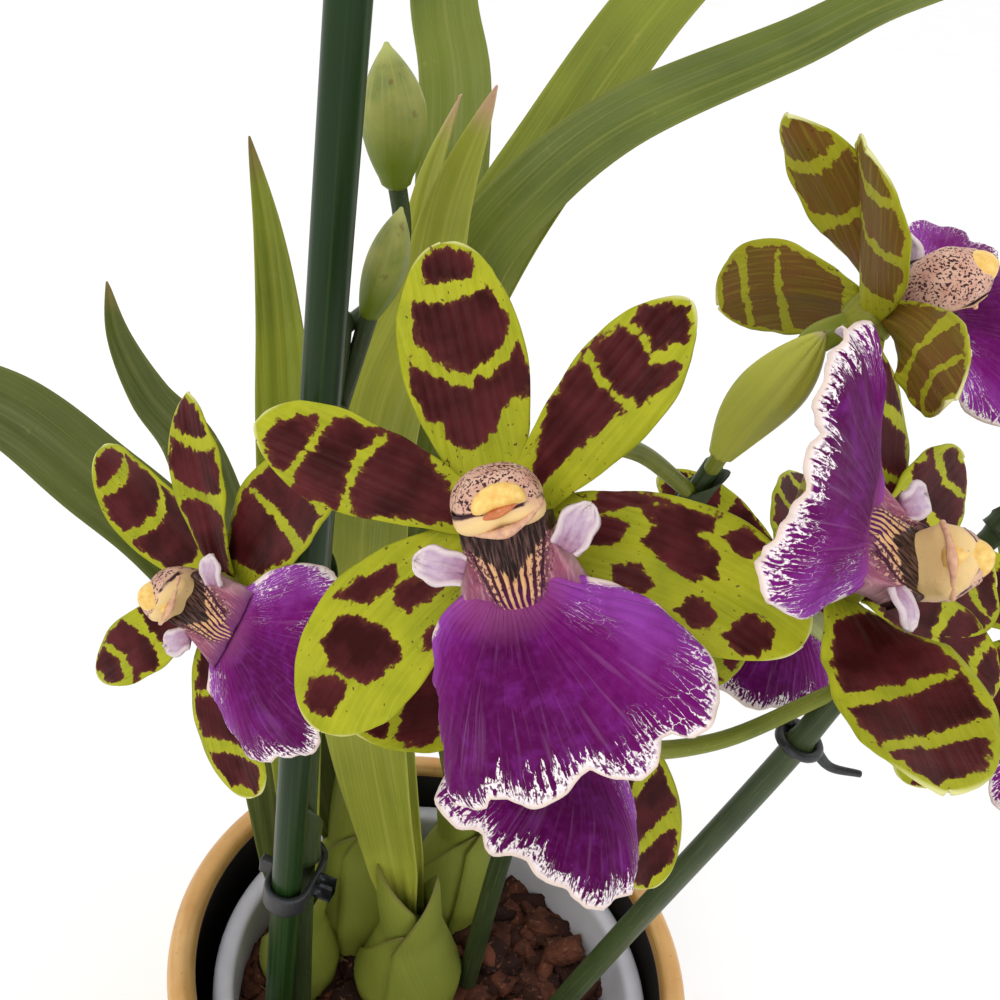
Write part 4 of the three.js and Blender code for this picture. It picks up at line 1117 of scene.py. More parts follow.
# A place on a spike: its middle, the way the spike runs there, and the spike's radius.
def spikeSpot(name, place):
    shape = spikes[name]
    line = curveThrough(shape["points"], 400)
    at = min(int(place * 400), 399)
    along = unit(line[at + 1] - line[at])
    radius = shape["radii"][0] + (shape["radii"][1] - shape["radii"][0]) * place
    return line[at], along, radius


# Where a stalk leaves its spike, a little inside the spike's skin.
def stalkStart(shape, toward):
    middle, along, radius = spikeSpot(shape["spike"], shape["place"])
    reach = np.array(toward, float) - middle
    out = unit(reach - along * (reach @ along))
    return middle + out * radius * stalkValues["into"]


for name, shape in spikes.items():
    line = curveThrough(shape["points"], 90)
    t = np.linspace(0, 1, len(line))
    radii = shape["radii"][0] + (shape["radii"][1] - shape["radii"][0]) * t
    for spot in shape["nodes"]:
        radii = radii + jointValues["swell"] * np.exp(-((t - spot) / jointValues["swellLength"]) ** 2)
    bm = startMesh("along", "around")
    layTube(bm, line, radii, 20, lambda part, angle: 1 + 0.025 * np.sin(3 * angle + 9 * part))
    finishPiece(bm, f"{name}_stem", [spikeSkin], [name], recalc=True)
    # a small clasping bract at each joint of the stem, but none under the wire ring
    bm = startMesh("along", "around")
    for spot in shape["nodes"]:
        if spot == shape.get("clipped"):
            continue
        start = int(spot * 90)
        part = line[start:min(start + jointValues["bractRows"], len(line))]
        if len(part) > 3:
            radius = np.interp(np.linspace(spot, spot + jointValues["bractLength"], len(part)), t, radii)
            layWrap(bm, part, radius + jointValues["bractRadius"], jointValues["bractReach"], 12, 18,
                    1.0 + 3.1 * spot * 4, jointValues["bractPoint"], jointValues["flare"])
    finishPiece(bm, f"{name}_bracts", [spikeSkin], (), jointValues["thickness"], 1.0)

for letter, shape in pedicels.items():
    pose = flowerPoses[letter]
    forward = np.array(facing(pose["heading"], pose["pitch"])[:])
    behind = (stalkValues["behind"], core["back"] * pose["size"] - stalkValues["into"])
    ends = [np.array(pose["at"]) - forward * far for far in behind]
    start = stalkStart(shape, shape["points"][0])
    line = curveThrough([start, *shape["points"], *ends], 44)
    t = np.linspace(0, 1, len(line))
    radii = np.interp(t, [0, 1], stalkValues["radii"]) + 0.35 * np.exp(-((t - 0.8) / 0.14) ** 2)
    bm = startMesh("along", "around")
    layTube(bm, line, radii, 24, lambda part, angle: 1 + 0.06 * part * np.cos(6 * angle))
    finishPiece(bm, f"pedicel_{letter}_stalk", [stalkSkin], [f"pedicel_{letter}"], recalc=True)
    # the flower's rounded base, where the tepals join
    bm = startMesh("along", "around")
    layTube(bm, [[0, 0, z] for z in flowerBase["places"]], flowerBase["radii"], 30,
            lambda part, angle: 1 + 0.04 * np.cos(6 * angle), 0.35, flowerWorld(pose))
    finishPiece(bm, f"flower_base_{letter}", [coreSkin], ["flower_core_a"] if letter == "a" else (),
                recalc=True)

for name, shape in buds.items():
    foot = np.array(shape["stalk"][-1], float)
    tip = np.array(shape["tip"], float)
    start = stalkStart(shape, shape["stalk"][0])
    bm = startMesh("along", "around")
    line = curveThrough([start, *shape["stalk"]], 24)
    layTube(bm, line, np.linspace(*stalkValues["budRadii"], len(line)), 18)
    finishPiece(bm, f"{name}_stalk", [spikeSkin], (), recalc=True)
    bulge = foot + (tip - foot) * 0.5 + np.array([0.4, 0, 0])
    line = curveThrough([foot - (tip - foot) * 0.04, bulge, tip], 40)
    t = np.linspace(0, 1, len(line))
    rounded = np.sin(np.pi * np.minimum(0.97, 0.08 + t * 0.9)) ** 0.85
    radii = shape["radius"] * (0.3 * (1 - t ** 3) + 0.7 * rounded)
    bm = startMesh("along", "around")
    layTube(bm, line, radii, 48,
            lambda part, angle: 0.95 + 0.05 * np.abs(np.sin(1.5 * angle + 0.5)) ** 0.4, 0.8)
    finishPiece(bm, f"{name}_body", [budSkin], [name], recalc=True)
print("stems made")


# ---- leaves and pseudobulbs ----

leafOutline = {"base": 0.4, "widest": 0.5, "blunt": 0.75}
leaves = {
    "leaf_1": {"width": 21, "face": [[0.3, -0.9, 0.4], [0.2, -0.8, 0.6]], "skin": "darker",
               "points": [[-35.6, 24.1, 135.3], [-56, 30, 182], [-91, 36, 216], [-111, 38, 228],
                          [-138, 42, 240], [-168, 44, 238], [-196, 46, 212]]},
    "leaf_2": {"width": 17, "face": [[0.3, -0.9, 0.3], [0.3, -0.9, 0.3]], "skin": "darker",
               "points": [[-43.4, 5.7, 121.7], [-62, 20, 190], [-86, 34, 246], [-98, 37, 256],
                          [-107, 40, 268], [-111, 42, 280]]},
    "leaf_3": {"width": 15, "face": [[0.2, -1, 0], [0.3, -1, 0.2]], "skin": "fresh",
               "points": [[-37.7, 6.1, 122.7], [-51, 14, 200], [-58, 16, 256], [-61, 17, 274], [-64, 18, 292],
                          [-68, 18, 311], [-73, 18, 328]]},
    "leaf_4": {"width": 17, "face": [[-0.2, -1, 0.1], [0, -0.6, 1]],
               "points": [[0, 42, 131], [-26, 54, 230], [-38, 64, 310], [-43, 74, 334], [-50, 84, 349],
                          [-60, 112, 392], [-74, 160, 420]]},
    "leaf_5": {"width": 22, "face": [[0, -1, 0.1], [-0.3, -1, 0.1]], "skin": "young",
               "points": [[-9.9, 4.1, 130.7], [-32, 1, 215], [-38, 3, 259], [-38, 5, 287], [-33, 7, 309],
                          [-32, 9, 328], [-28, 10, 349]]},
    "leaf_6": {"width": 21, "face": [[0, -1, 0.2], [-0.6, -0.5, 1]], "skin": "fresh",
               "points": [[-29.3, 30.1, 136.2], [-37, 40, 210], [-33, 46, 270], [-25, 49, 306],
                          [-17, 52, 327], [-1, 56, 363], [28, 60, 402], [76, 66, 422]]},
    "leaf_7": {"width": 15, "face": [[0, -1, 0.2], [-0.6, -0.3, 1]],
               "points": [[-25.3, 22.5, 137.2], [-31, 21, 200], [-30, 24, 259], [-27, 31, 308],
                          [-18, 36, 325], [-5, 40, 340], [25, 44, 361], [41, 46, 373], [84, 52, 390],
                          [140, 60, 384]]},
    "leaf_8": {"width": 15, "face": [[0, -1, 0.1], [-0.3, -1, 0.1]], "skin": "young",
               "points": [[-7.8, 9.3, 130.7], [-30, 12, 215], [-42, 15, 275], [-38, 19, 302], [-38, 20, 327],
                          [-35, 19, 344]]},
    "leaf_9": {"width": 15, "face": [[0, -1, 0.2], [0, -1, 0.6]],
               "points": [[2.9, 37, 130.6], [9, 40, 150], [17, 47, 166], [28, 54, 174]]},
}
leafGrid = {"rows": 124, "cols": 24, "thickness": 0.6}


# The skin on leaves 1 and 2 is the usual leaf skin in deeper greens.
leafSkinColors = {
    "usual": ("leaf skin", "6c782a", "515f24", "86893f", "7b6a3c"),
    "darker": ("old leaf skin", "525b22", "3c4619", "6d7036", "7b6a3c"),
    "fresh": ("fresh leaf skin", "7f8a26", "646f22", "9a9a3e", "7b6a3c"),
    "young": ("young leaf skin", "9a9e36", "7f8a2c", "b2b052", "c09a7c"),
}
leafWear = "a8a25a"


def leafMaterial(name, light, dark, vein, tip):
    made, tree, shader = newMaterial(name, 0.42, 0.22)
    color = blend(tree, light, dark, bodyNoise(tree, 28.0), 0.35, 0.68)
    fine = surfaceNoise(tree, 95, 0.9, 3.0, 0.6)
    color = blend(tree, color, vein, fine, 0.48, 0.72, 0.0, 0.45)
    color = blend(tree, color, vein, readMark(tree, "edge"), 0.0, 0.7, 0.55, 0.0)
    wear = bodyNoise(tree, 210.0)
    color = blend(tree, color, leafWear, wear, 0.66, 0.8, 0.0, 0.3)
    end = plus(tree, readMark(tree, "along"), stray(tree, wear, 0.03))
    color = blend(tree, color, tip, end, 0.955, 0.995)
    addGlow(shader, 0.08, (1, 1.6, 0.4))
    finishSkin(tree, shader, color, fine, 0.35, 0.4)
    return made


leafSkins = {kind: leafMaterial(*colors) for kind, colors in leafSkinColors.items()}


def leafShape(leaf, name):
    waves = wavePhases("leaf " + name, 4)
    rows = leafGrid["rows"]
    places = np.linspace(0, 1, rows + 1)
    line, length = evenCurve(leaf["points"], places)
    along = directions(line)
    first, last = np.array(leaf["face"], float)
    face = first + (last - first) * places[:, None]
    normals = unit(face - along * (face * along).sum(1)[:, None])
    sides = np.cross(along, normals)

    def place(u, v):
        row = np.rint(u * rows).astype(int)
        half = widthAlong(u, leafOutline) * leaf["width"] / 2
        half = np.where(u < 0.1, half * (1 - 0.25 * (1 - u / 0.1)), half)
        # the fold along the middle, the ribs, and long and short waves of the edge
        fold = 0.32 * half * (np.sqrt(v ** 2 + 0.012) - 0.11)
        fold = fold + 0.16 * np.cos(v * np.pi * 4) * np.minimum(1, 6 * (1 - u)) * np.minimum(1, half / 4)
        wave = np.sin(10 * u + waves[0] + 1.6 * np.sign(v))
        fold = fold + 0.7 * np.abs(v) ** 2 * wave * np.minimum(1, 5 * u)
        fold = fold + 0.25 * np.abs(v) ** 3 * np.sin(31 * u + waves[1] + np.sign(v))
        half = half * (1 + 0.012 * np.sin(14 * u + waves[2]))
        points = line[row] + sides[row] * (v * half)[:, None] + normals[row] * fold[:, None]
        found = {"along": u, "edge": np.minimum(np.abs(v) * half + 0.15, half * (1 - np.abs(v)) + 0.1),
                 "thick": 0.35 + 0.65 * (1 - np.abs(v) ** 4) * np.minimum(1, 12 * (1 - u))}
        return points, np.stack([v * half, u * length], 1), found

    return place


for name, leaf in leaves.items():
    bm = startMesh("along", "edge")
    layGrid(bm, leafGrid["rows"], leafGrid["cols"], leafShape(leaf, name))
    skin = leafSkins[leaf.get("skin", "usual")]
    finishPiece(bm, f"{name}_blade", [skin], [name], leafGrid["thickness"])

pseudobulbs = {
    "pseudobulb_1": {"at": [-24, 22], "base": 92, "height": 44, "radius": 13, "lean": [-6, 4],
                     "rise": [-2, 4, 27]},
    "pseudobulb_2": {"at": [-2, 34], "base": 92, "height": 38, "radius": 11, "lean": [2, 6],
                     "rise": [-3, 2, 22]},
    "pseudobulb_3": {"at": [-5, 6], "base": 90, "height": 40, "radius": 12, "lean": [-4, -2],
                     "rise": [-6, 1, 26]},
    "pseudobulb_4": {"at": [-36, 4], "base": 92, "height": 30, "radius": 8, "lean": [-4, 0],
                     "rise": [-3, 3, 20]},
}
bulbSkin = stemMaterial("pseudobulb skin", "6a7428", "4a5820", "868a40", 0.38)

# The bases of old leaves: green ones that rise past the bulb around its leaves, and dry ones at its foot.
greenWraps = {"gaps": [1.3, 1.4, 2.6], "neck": [6.6, 5.4], "turns": [0, 2.6, 1.2], "rows": [41, 35, 25],
              "points": [0.3, 0.42, 0.5], "apart": 0.8, "reach": 1.75, "flare": 0.8, "thickness": 0.6}
dryWraps = {"rows": 15, "gap": 3.0, "reach": 1.3, "point": 0.75, "flare": 1.4, "thickness": 0.5}
dryLook = {"light": "94774f", "dark": "604832", "line": "6f5436"}


def dryMaterial():
    look = dryLook
    made, tree, shader = newMaterial("dry sheath", 0.62, 0.25)
    lines = surfaceNoise(tree, 70, 2, 4.0)
    color = blend(tree, look["light"], look["dark"], bodyNoise(tree, 160.0), 0.3, 0.7)
    color = blend(tree, color, look["line"], lines, 0.48, 0.7, 0.0, 0.7)
    finishSkin(tree, shader, color, lines, 0.7, 0.5)
    return made


drySheath = dryMaterial()
greenSheath = leafMaterial("green sheath", "7c8a28", "5c6a22", "8f9440", "6f6a34")

for name, bulb in pseudobulbs.items():
    x, y = bulb["at"]
    leanX, leanY = bulb["lean"]
    base, height = bulb["base"], bulb["height"]
    line = curveThrough([[x, y, base], [x + leanX * 0.4, y + leanY * 0.4, base + height * 0.5],
                         [x + leanX, y + leanY, base + height]], 36)
    t = np.linspace(0, 1, len(line))
    radii = bulb["radius"] * (0.34 + 0.66 * np.sin(np.pi * np.minimum(1, 0.16 + t * 0.86)) ** 0.8)
    bm = startMesh("along", "around")
    layTube(bm, line, radii, 64,
            lambda part, angle: 1 + 0.03 * np.cos(9 * angle) + 0.012 * np.cos(22 * angle + 5 * part), 0.6)
    finishPiece(bm, f"{name}_body", [bulbSkin], [name], recalc=True)
    rng = random.Random("sheath " + name)
    top, rise = line[-1], np.array(bulb["rise"], float)
    risen = curveThrough([line[3], line[18], top, top + rise * 0.5, top + rise], 40)
    bulged = [radii[row] + gap for row, gap in zip((3, 18, -1), greenWraps["gaps"])]
    around = np.interp(np.arange(41), [0, 10, 20, 30, 40], bulged + greenWraps["neck"])
    turned = rng.uniform(3.6, 4.4)
    bm = startMesh("along", "edge")
    for turn, rows, point in zip(greenWraps["turns"], greenWraps["rows"], greenWraps["points"]):
        layWrap(bm, risen[:rows], around[:rows] + greenWraps["apart"] * turn, greenWraps["reach"], 30, 22,
                turned + turn, point, greenWraps["flare"])
    finishPiece(bm, f"{name}_green_sheath", [greenSheath], (), greenWraps["thickness"], 1.0)
    bm = startMesh("along", "edge")
    rows = dryWraps["rows"]
    for turn in (rng.uniform(1.0, 2.2), rng.uniform(3.8, 4.8)):
        layWrap(bm, line[:rows], radii[:rows] + dryWraps["gap"], dryWraps["reach"], 26, 26, turn,
                dryWraps["point"], dryWraps["flare"])
    finishPiece(bm, f"{name}_dry_sheath", [drySheath], (), dryWraps["thickness"], 1.0)
print("leaves made")

bract = {"width": 11, "rows": 60, "cols": 24, "thickness": 0.7, "face": [0, 1, -0.2],
         "points": [[24.6, -17.2, 302.5], [26, -22.6, 313], [28, -26.8, 323], [30.2, -29.8, 333.8]]}
bractLine, bractLength = evenCurve(bract["points"], np.linspace(0, 1, bract["rows"] + 1))
bractAlong = directions(bractLine)
bractFace = np.array(bract["face"]) - bractAlong * bractAlong[:, 1:2]
bractFace = unit(bractFace - bractAlong * (bractFace * bractAlong).sum(1)[:, None])
bractSide = np.cross(bractAlong, bractFace)


def bractShape(u, v):
    row = np.rint(u * bract["rows"]).astype(int)
    half = widthAlong(u, leafOutline) * bract["width"] / 2
    points = bractLine[row] + bractSide[row] * (v * half)[:, None] \
        + bractFace[row] * (v ** 2 * half * 0.5 + 0.12 * np.cos(v * 12))[:, None]
    found = {"along": u, "edge": half * (1 - np.abs(v)) + 0.1, "thick": 0.4 + 0.6 * (1 - np.abs(v) ** 4)}
    return points, np.stack([v * half, u * bractLength], 1), found


bractSkin = leafMaterial("bract skin", "b2b447", "98a03c", "bdba5e", "b3a678")
bm = startMesh("along", "edge")
layGrid(bm, bract["rows"], bract["cols"], bractShape)
finishPiece(bm, "bract_e_blade", [bractSkin], ["bract_e"], bract["thickness"])
print("bract made")


# ---- stake and clips ----

stake = {"radius": 3.5, "points": [[-34, -22, 62], [-50, -23, 404]], "steps": 60}
# The lightest green is painted highlight along the stake's lines.
stakeLook = {"green": "1e3514", "dark": "14280d", "streakHighlight": "335022"}


def stakeMaterial():
    look = stakeLook
    made, tree, shader = newMaterial("stake plastic", 0.32, 0.2)
    lines = surfaceNoise(tree, 36, 0.35, 4.0)
    color = blend(tree, look["green"], look["dark"], bodyNoise(tree, 40.0, stretch=(1, 1, 0.3)), 0.3, 0.7)
    # lighter lengthwise streaks: painted highlights down the glossy rod, along its fine lines
    color = blend(tree, color, look["streakHighlight"], lines, 0.5, 0.7, 0.0, 0.6)
    tree.links.new(spread(tree, lines, 0.3, 0.7, 0.24, 0.42), shader.inputs["Roughness"])
    finishSkin(tree, shader, color, lines, 0.25, 0.4)
    return made


bm = startMesh("along", "around")
layTube(bm, np.linspace(*stake["points"], stake["steps"]), np.full(stake["steps"], stake["radius"]), 36,
        lambda part, angle: 1 + 0.012 * np.cos(3 * angle))
finishPiece(bm, "stake_1_rod", [stakeMaterial()], ["stake_1"], recalc=True)

clipValues = {"inner": 4, "wall": 1.6, "height": 6, "square": 0.4, "tab": [2.6, 4.4, 4.4], "tabAway": 7.0,
              "tabEdge": 0.6}
clipLook = {"black": "17191c", "worn": "2a2d31"}
clips = {"clip_1": [[-38.7, -22.3, 168], [-37.1, -13.4, 168]],
         "clip_2": [[-44.2, -22.6, 286], [-44.4, -14.1, 286]]}


def clipMaterial():
    made, tree, shader = newMaterial("clip plastic", 0.4, 0.5)
    grain = bodyNoise(tree, 1800.0, 2.0)
    color = blend(tree, clipLook["black"], clipLook["worn"], grain, 0.4, 0.7)
    finishSkin(tree, shader, color, grain, 0.3, 0.2)
    return made


# A band round two stems, as a closed path through the middle of its wall.
def bandPath(far):
    radius = clipValues["inner"] + clipValues["wall"] / 2
    path = []
    for middle, first in ((0, math.pi / 2), (far, -math.pi / 2)):
        for a in np.linspace(first, first + math.pi, 17):
            path.append((middle + math.cos(a) * radius, math.sin(a) * radius))
    return np.array(path)


# From round to square: the sine or cosine of an angle, pushed out to its corners.
def squared(wave):
    return np.sign(wave) * np.abs(wave) ** clipValues["square"]


clipSkin = clipMaterial()
for name, (start, end) in clips.items():
    start, end = np.array(start, float), np.array(end, float)
    reach = end - start
    turn = math.atan2(reach[1], reach[0])
    far = math.hypot(reach[0], reach[1])
    path = bandPath(far)
    outward = unit(path - np.stack([np.clip(path[:, 0], 0, far), np.zeros(len(path))], 1))
    rows = len(path)

    def bandShape(u, v):
        row = np.rint(u * rows).astype(int) % rows
        wide = clipValues["wall"] / 2 * squared(np.cos(v * math.pi))
        tall = clipValues["height"] / 2 * squared(np.sin(v * math.pi))
        flat = path[row] + outward[row] * wide[:, None]
        points = np.stack([start[0] + flat[:, 0] * math.cos(turn) - flat[:, 1] * math.sin(turn),
                           start[1] + flat[:, 0] * math.sin(turn) + flat[:, 1] * math.cos(turn),
                           start[2] + tall], 1)
        return points, np.stack([u * 40, v * 4], 1), {"thick": np.ones(len(u))}

    bm = startMesh()
    layGrid(bm, rows, 24, bandShape)
    bmesh.ops.remove_doubles(bm, verts=bm.verts, dist=weldDistance)
    # the two grip tabs
    for side in (-1, 1):
        tab = bmesh.ops.create_cube(bm, size=1)["verts"]
        across = np.array([-math.sin(turn), math.cos(turn), 0]) * side
        long, out, tall = clipValues["tab"]
        for vert in tab:
            spot = (start + end) / 2 + across * (clipValues["tabAway"] + vert.co.y * out)
            spot = spot + unit(reach) * vert.co.x * long + np.array([0, 0, vert.co.z * tall])
            vert.co = spot * mm
        edges = list({edge for vert in tab for edge in vert.link_edges})
        bmesh.ops.bevel(bm, geom=edges, offset=clipValues["tabEdge"] * mm, segments=3, profile=0.5,
                        affect="EDGES", material=-1)
    finishPiece(bm, f"{name}_band", [clipSkin], [name], recalc=True)

# the wire ring round the second spike, with its free arm
nodeClip = {"wire": 1.0, "gap": 1.4, "turns": 1.35, "rise": [-1.0, 1.3], "steps": 60, "armFoot": 1.2,
            "armTip": 0.7, "arm": [[3.6, 0, 0], [8, -0.6, -2], [14, -0.6, -0.8]]}
ringAt, ringAlong, ringRadius = spikeSpot("spike_2", spikes["spike_2"]["clipped"])
level = np.array(Vector((0, 0, 1)).rotation_difference(Vector(ringAlong)).to_matrix())
bm = startMesh("along", "around")
steps = nodeClip["steps"]
turns = np.linspace(0, 2 * math.pi * nodeClip["turns"], steps)
coil = np.stack([np.cos(turns), np.sin(turns), np.zeros(steps)], 1) * (ringRadius + nodeClip["gap"])
coil[:, 2] = np.linspace(*nodeClip["rise"], steps)
layTube(bm, coil @ level.T + ringAt, np.full(steps, nodeClip["wire"]), 16)
arm = curveThrough(nodeClip["arm"], 24)
layTube(bm, arm @ level.T + ringAt, np.linspace(nodeClip["armFoot"], nodeClip["armTip"], 25), 16)
finishPiece(bm, "clip_3_ring", [clipSkin], ["clip_3"], recalc=True)
print("stake and clips made")


# ---- pots and bark ----

outerPot = {"height": 130, "rimRadius": 70, "baseRadius": 52, "wall": 3.4, "rimWidth": 7, "shoulder": 2,
            "floor": 4, "footRing": [34, 36, 49], "footRise": 0.6, "darkBelow": 124.5, "sides": 128}
nurseryPot = {"x": 2, "bottom": 4.3, "top": 117, "rimRadius": 60, "baseRadius": 43, "wall": 1.8,
              "rimWidth": 5.5, "rimDrop": 3, "footRing": [26, 28], "footRise": 1.2, "rings": 0.25,
              "sides": 120}


# Spins a profile of radii and heights round the pot's middle, which may stand to one side.
def spinProfile(bm, profile, sides, x=0.0):
    verts = [bm.verts.new((r * mm, 0, z * mm)) for r, z in profile]
    edges = [bm.edges.new(pair) for pair in zip(verts, verts[1:])]
    bmesh.ops.spin(bm, geom=verts + edges, cent=(0, 0, 0), axis=(0, 0, 1), angle=2 * math.pi, steps=sides,
                   use_merge=True, use_duplicate=False)
    bmesh.ops.remove_doubles(bm, verts=bm.verts, dist=weldDistance)
    bmesh.ops.recalc_face_normals(bm, faces=bm.faces)
    bmesh.ops.translate(bm, verts=bm.verts, vec=(x * mm, 0, 0))


# The outer pot's bulge: its radius at a height.
def sideRadius(z):
    pot = outerPot
    top = pot["rimRadius"] - pot["shoulder"]
    return pot["baseRadius"] + (top - pot["baseRadius"]) * math.sin(math.pi / 2 * (z / pot["height"])) ** 0.9


goldLook = {"light": "d3a566", "deep": "bd8a4c", "brushed": "ecc994", "pit": "8a5c30", "metal": 0.45}


def goldMaterial():
    look = goldLook
    made, tree, shader = newMaterial("gold glaze", 0.34, 0.5)
    brush = bodyNoise(tree, 1.0, stretch=(30, 30, 700))
    pits = bodyNoise(tree, 900.0, 2.0)
    color = blend(tree, look["light"], look["deep"], bodyNoise(tree, 45.0, 4.0), 0.3, 0.7)
    color = blend(tree, color, look["brushed"], brush, 0.5, 0.8, 0.0, 0.45)
    color = blend(tree, color, look["pit"], pits, 0.66, 0.74, 0.0, 0.4)
    shader.inputs["Metallic"].default_value = look["metal"]
    tree.links.new(spread(tree, brush, 0.3, 0.7, 0.26, 0.42), shader.inputs["Roughness"])
    finishSkin(tree, shader, color, plus(tree, brush, pits), 0.15, 0.3)
    return made


def speckledPlastic(name, light, dark, roughness, scale=600.0):
    made, tree, shader = newMaterial(name, roughness, 0.4)
    grain = bodyNoise(tree, scale)
    color = blend(tree, light, dark, bodyNoise(tree, 60.0), 0.3, 0.7)
    color = blend(tree, color, dark, grain, 0.55, 0.8, 0.0, 0.3)
    finishSkin(tree, shader, color, grain, 0.25, 0.2)
    return made


goldGlaze = goldMaterial()
darkInside = speckledPlastic("dark inside", "141210", "1e1a17", 0.6)
footGlaze = speckledPlastic("bare foot", "a3958a", "8a7b70", 0.8)

pot = outerPot
top, bead = pot["height"], pot["rimWidth"] / 2
hollow, ringIn, ringOut = pot["footRing"]
profile = [(0, pot["footRise"]), (hollow, pot["footRise"]), (ringIn, 0), (ringOut, 0),
           (sideRadius(2) - 0.4, 1.1)]
profile += [(sideRadius(z), z) for z in np.linspace(2.4, top - pot["rimWidth"] - 1, 26)]
for i in range(15):
    turn = math.radians(-50 + i * 230 / 14)
    profile.append((pot["rimRadius"] - bead + bead * math.cos(turn), top - bead + bead * math.sin(turn)))
profile += [(sideRadius(z) - pot["wall"], z) for z in np.linspace(top - 8, 8, 20)]
profile += [(sideRadius(6) - pot["wall"] - 1.2, 5.2), (sideRadius(4) - pot["wall"] - 4, pot["floor"]),
            (0, pot["floor"])]
bm = startMesh()
spinProfile(bm, profile, pot["sides"])
for face in bm.faces:
    middle = face.calc_center_median()
    radius, z = math.hypot(middle.x, middle.y) / mm, middle.z / mm
    if z < 1.0:
        face.material_index = 2
    elif radius < sideRadius(min(z, top - 1)) - pot["wall"] / 2 and z < pot["darkBelow"]:
        face.material_index = 1
finishPiece(bm, "outer_pot_body", [goldGlaze, darkInside, footGlaze], ["outer_pot"])

pot = nurseryPot
bottom, top, base, rim, wall = pot["bottom"], pot["top"], pot["baseRadius"], pot["rimRadius"], pot["wall"]
neck = rim - pot["rimWidth"] + wall
lip = top - pot["rimDrop"]
hollow, ringIn = pot["footRing"]
profile = [(0, bottom + pot["footRise"]), (hollow, bottom + pot["footRise"]), (ringIn, bottom),
           (base - 1.5, bottom), (base, bottom + 1.5)]
profile += [(base + (neck - base) * t + (pot["rings"] if i % 4 == 2 else 0),
             bottom + 1.5 + (lip - bottom - 1.5) * t) for i, t in enumerate(np.linspace(0.04, 1, 24))]
profile += [(rim - 0.5, lip), (rim, lip + 0.5), (rim, top - 1.3), (rim - 0.4, top - 0.5),
            (rim - 1.2, top - 0.1), (rim - 2.6, top), (neck - wall + 1.2, top - 0.3),
            (neck - wall + 0.2, top - 1.2), (neck - wall, top - 3)]
profile += [(base - wall + (neck - base) * t, bottom + 2.4 + (top - 5.4 - bottom) * t)
            for t in np.linspace(0.95, 0, 18)]
profile += [(0, bottom + wall + 1.2)]
bm = startMesh()
spinProfile(bm, profile, pot["sides"], pot["x"])
potPlastic = speckledPlastic("nursery pot plastic", "cfced6", "bdbcc6", 0.42, 400.0)
finishPiece(bm, "nursery_pot_body", [potPlastic], ["nursery_pot"])

bark = {"top": 98, "lump": 3.2, "chips": 520, "radius": 52.5, "kinds": 6, "long": [6, 15], "wide": [4, 9],
        "tall": [2.2, 4.6], "above": [0.2, 2.6]}
barkLook = {"dark": "2b1510", "light": "6b3d2b", "crack": "1a0d0a", "fleck": "a0704f"}


def barkMaterial():
    look = barkLook
    made, tree, shader = newMaterial("bark", 0.85, 0.25)
    flakes = bodyNoise(tree, 260.0, 4.0, 0.65, stretch=(1, 1, 2.5))
    color = mixColor(tree, readMark(tree, "tone"), look["dark"], look["light"])
    color = blend(tree, color, look["crack"], flakes, 0.45, 0.7, 0.0, 0.7)
    color = blend(tree, color, look["fleck"], bodyNoise(tree, 700.0, 2.0), 0.6, 0.75, 0.0, 0.5)
    finishSkin(tree, shader, color, flakes, 0.9, 0.8)
    return made


barkSkin = barkMaterial()


# The lumpy top of the bark, flatter towards the pot's wall.
def barkHeight(x, y):
    x = x - nurseryPot["x"]
    inside = min(1, max(0, (53 - math.hypot(x, y)) / 8))
    lumpy = math.sin(x * 0.42 + 1.3) * math.cos(y * 0.37 - 0.6) + 0.6 * math.sin((x + y) * 0.23)
    return bark["top"] + bark["lump"] * lumpy * inside


rng = random.Random("bark")
chipShapes = []
for kind in range(bark["kinds"]):
    chip = bmesh.new()
    bmesh.ops.create_cube(chip, size=1)
    bmesh.ops.subdivide_edges(chip, edges=chip.edges[:], cuts=1, use_grid_fill=True)
    for vert in chip.verts:
        rounded = vert.co.normalized() * 0.62
        vert.co = vert.co.lerp(rounded, 0.35) + Vector([rng.uniform(-0.08, 0.08) for _ in range(3)])
    data = bpy.data.meshes.new("chip")
    chip.to_mesh(data)
    chip.free()
    chipShapes.append(data)
bm = startMesh("tone")
tone = bm.verts.layers.float["tone"]
for number in range(bark["chips"]):
    away = bark["radius"] * math.sqrt(rng.random())
    turn = rng.uniform(0, 2 * math.pi)
    x, y = nurseryPot["x"] + away * math.cos(turn), away * math.sin(turn)
    before = len(bm.verts)
    bm.from_mesh(rng.choice(chipShapes))
    bm.verts.ensure_lookup_table()
    size = Vector([rng.uniform(*bark[way]) for way in ("long", "wide", "tall")]) * mm
    placed = Matrix.Translation(Vector((x, y, barkHeight(x, y) + rng.uniform(*bark["above"]))) * mm) \
        @ Matrix.Rotation(rng.uniform(0, 6.28), 4, "Z") @ Matrix.Rotation(rng.gauss(0, 0.35), 4, "X") \
        @ Matrix.Rotation(rng.gauss(0, 0.3), 4, "Y")
    shade = rng.random() ** 1.5
    for vert in bm.verts[before:]:
        vert.co = placed @ (vert.co * size)
        vert[tone] = shade
for data in chipShapes:
    bpy.data.meshes.remove(data)
finishPiece(bm, "bark_chips", [barkSkin])
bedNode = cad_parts["bark_bed"]
bedNode.data.materials.clear()
bedNode.data.materials.append(barkSkin)
print("pots and bark made")


# ---- floor, light and camera ----

stageLook = {"floor": "ffffff", "floorSoft": "fdfdfd", "floorSize": 6, "backdrop": "ffffff", "strength": 1.0}


def floorMaterial():
    made, tree, shader = newMaterial("floor", 0.9, 0.1)
    color = blend(tree, stageLook["floor"], stageLook["floorSoft"], bodyNoise(tree, 8.0, 2.0), 0.3, 0.7)
    tree.links.new(color, shader.inputs["Base Color"])
    return made


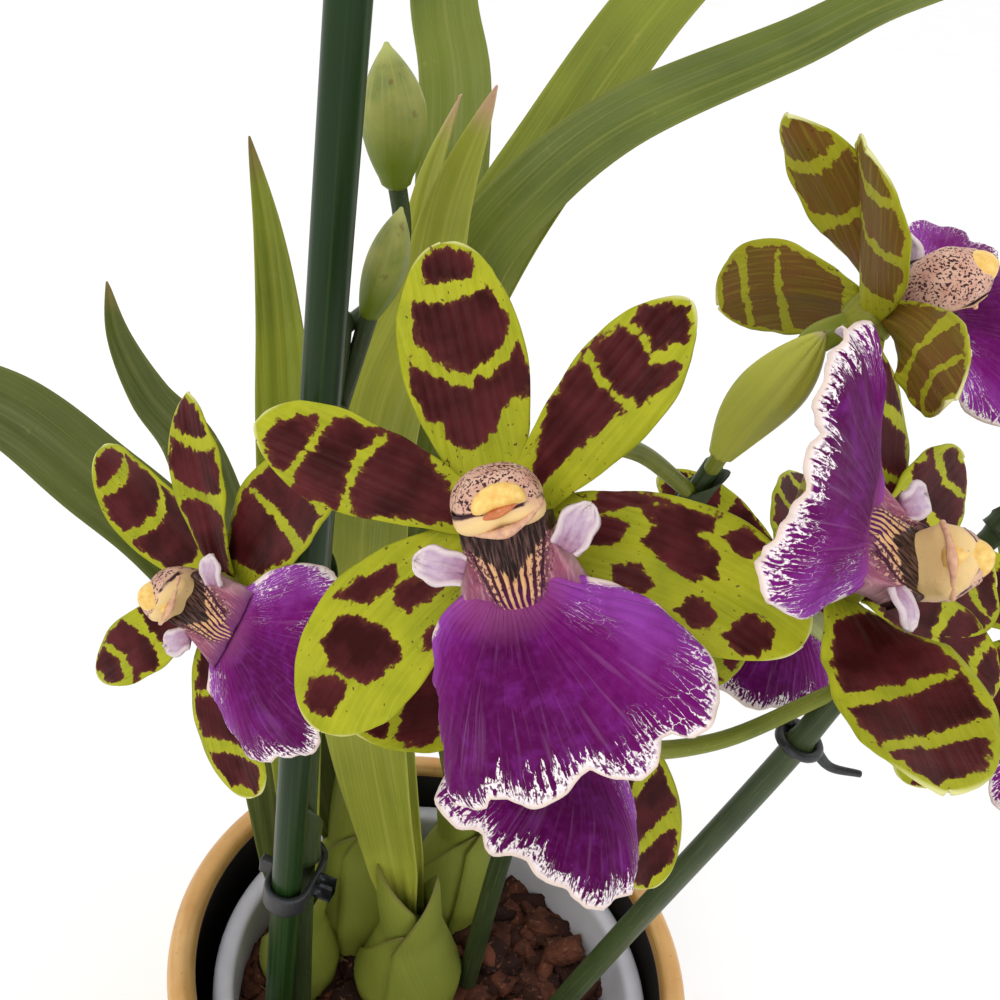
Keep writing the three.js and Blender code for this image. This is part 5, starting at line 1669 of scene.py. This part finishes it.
bm = bmesh.new()
bmesh.ops.create_grid(bm, x_segments=2, y_segments=2, size=stageLook["floorSize"])
data = bpy.data.meshes.new("floor")
bm.to_mesh(data)
bm.free()
floor = bpy.data.objects.new("floor", data)
scene.collection.objects.link(floor)
floor.data.materials.append(floorMaterial())

studio = bpy.data.worlds.new("studio")
scene.world = studio
studio.use_nodes = True
backdrop = studio.node_tree.nodes["Background"]
backdrop.inputs["Color"].default_value = hexColor(stageLook["backdrop"])
backdrop.inputs["Strength"].default_value = stageLook["strength"]


def areaLight(name, place, target, size, power, color):
    light = bpy.data.lights.new(name, "AREA")
    light.shape = "SQUARE"
    light.size = size
    light.energy = power
    light.color = hexColor(color)[:3]
    made = bpy.data.objects.new(name, light)
    scene.collection.objects.link(made)
    made.location = place
    made.rotation_euler = (Vector(target) - Vector(place)).to_track_quat("-Z", "Y").to_euler()


areaLight("key light", (-0.55, -1.1, 1.35), (0, -0.02, 0.27), 0.7, 7, "fffaf2")
areaLight("fill light", (1.2, -0.6, 0.7), (0, 0, 0.25), 1.0, 2.5, "f4f7ff")

# The focal length is in widths of the sensor.
cameraValues = {"at": (-11.1, -187.6, 391.3), "focal": 1.1, "sensor": 36, "pitch": 32.2, "roll": 13.3}
camera = bpy.data.cameras.new("camera")
camera.sensor_fit = "HORIZONTAL"
camera.sensor_width = cameraValues["sensor"]
camera.lens = cameraValues["sensor"] * cameraValues["focal"]
camera.clip_start = 0.01
cameraObject = bpy.data.objects.new("camera", camera)
scene.collection.objects.link(cameraObject)
pitch, roll = math.radians(cameraValues["pitch"]), math.radians(cameraValues["roll"])
ahead = Vector((0, math.cos(pitch), -math.sin(pitch)))
upright = Vector((0, math.sin(pitch), math.cos(pitch)))
right = Vector((math.cos(roll), 0, 0)) + upright * math.sin(roll)
above = upright * math.cos(roll) - Vector((math.sin(roll), 0, 0))
turned = Matrix((right, above, -ahead)).transposed()
cameraObject.matrix_world = Matrix.Translation(Vector(cameraValues["at"]) * mm) @ turned.to_4x4()
scene.camera = cameraObject
scene.view_settings.view_transform = "Standard"
scene.view_settings.look = "None"
print("stage made")
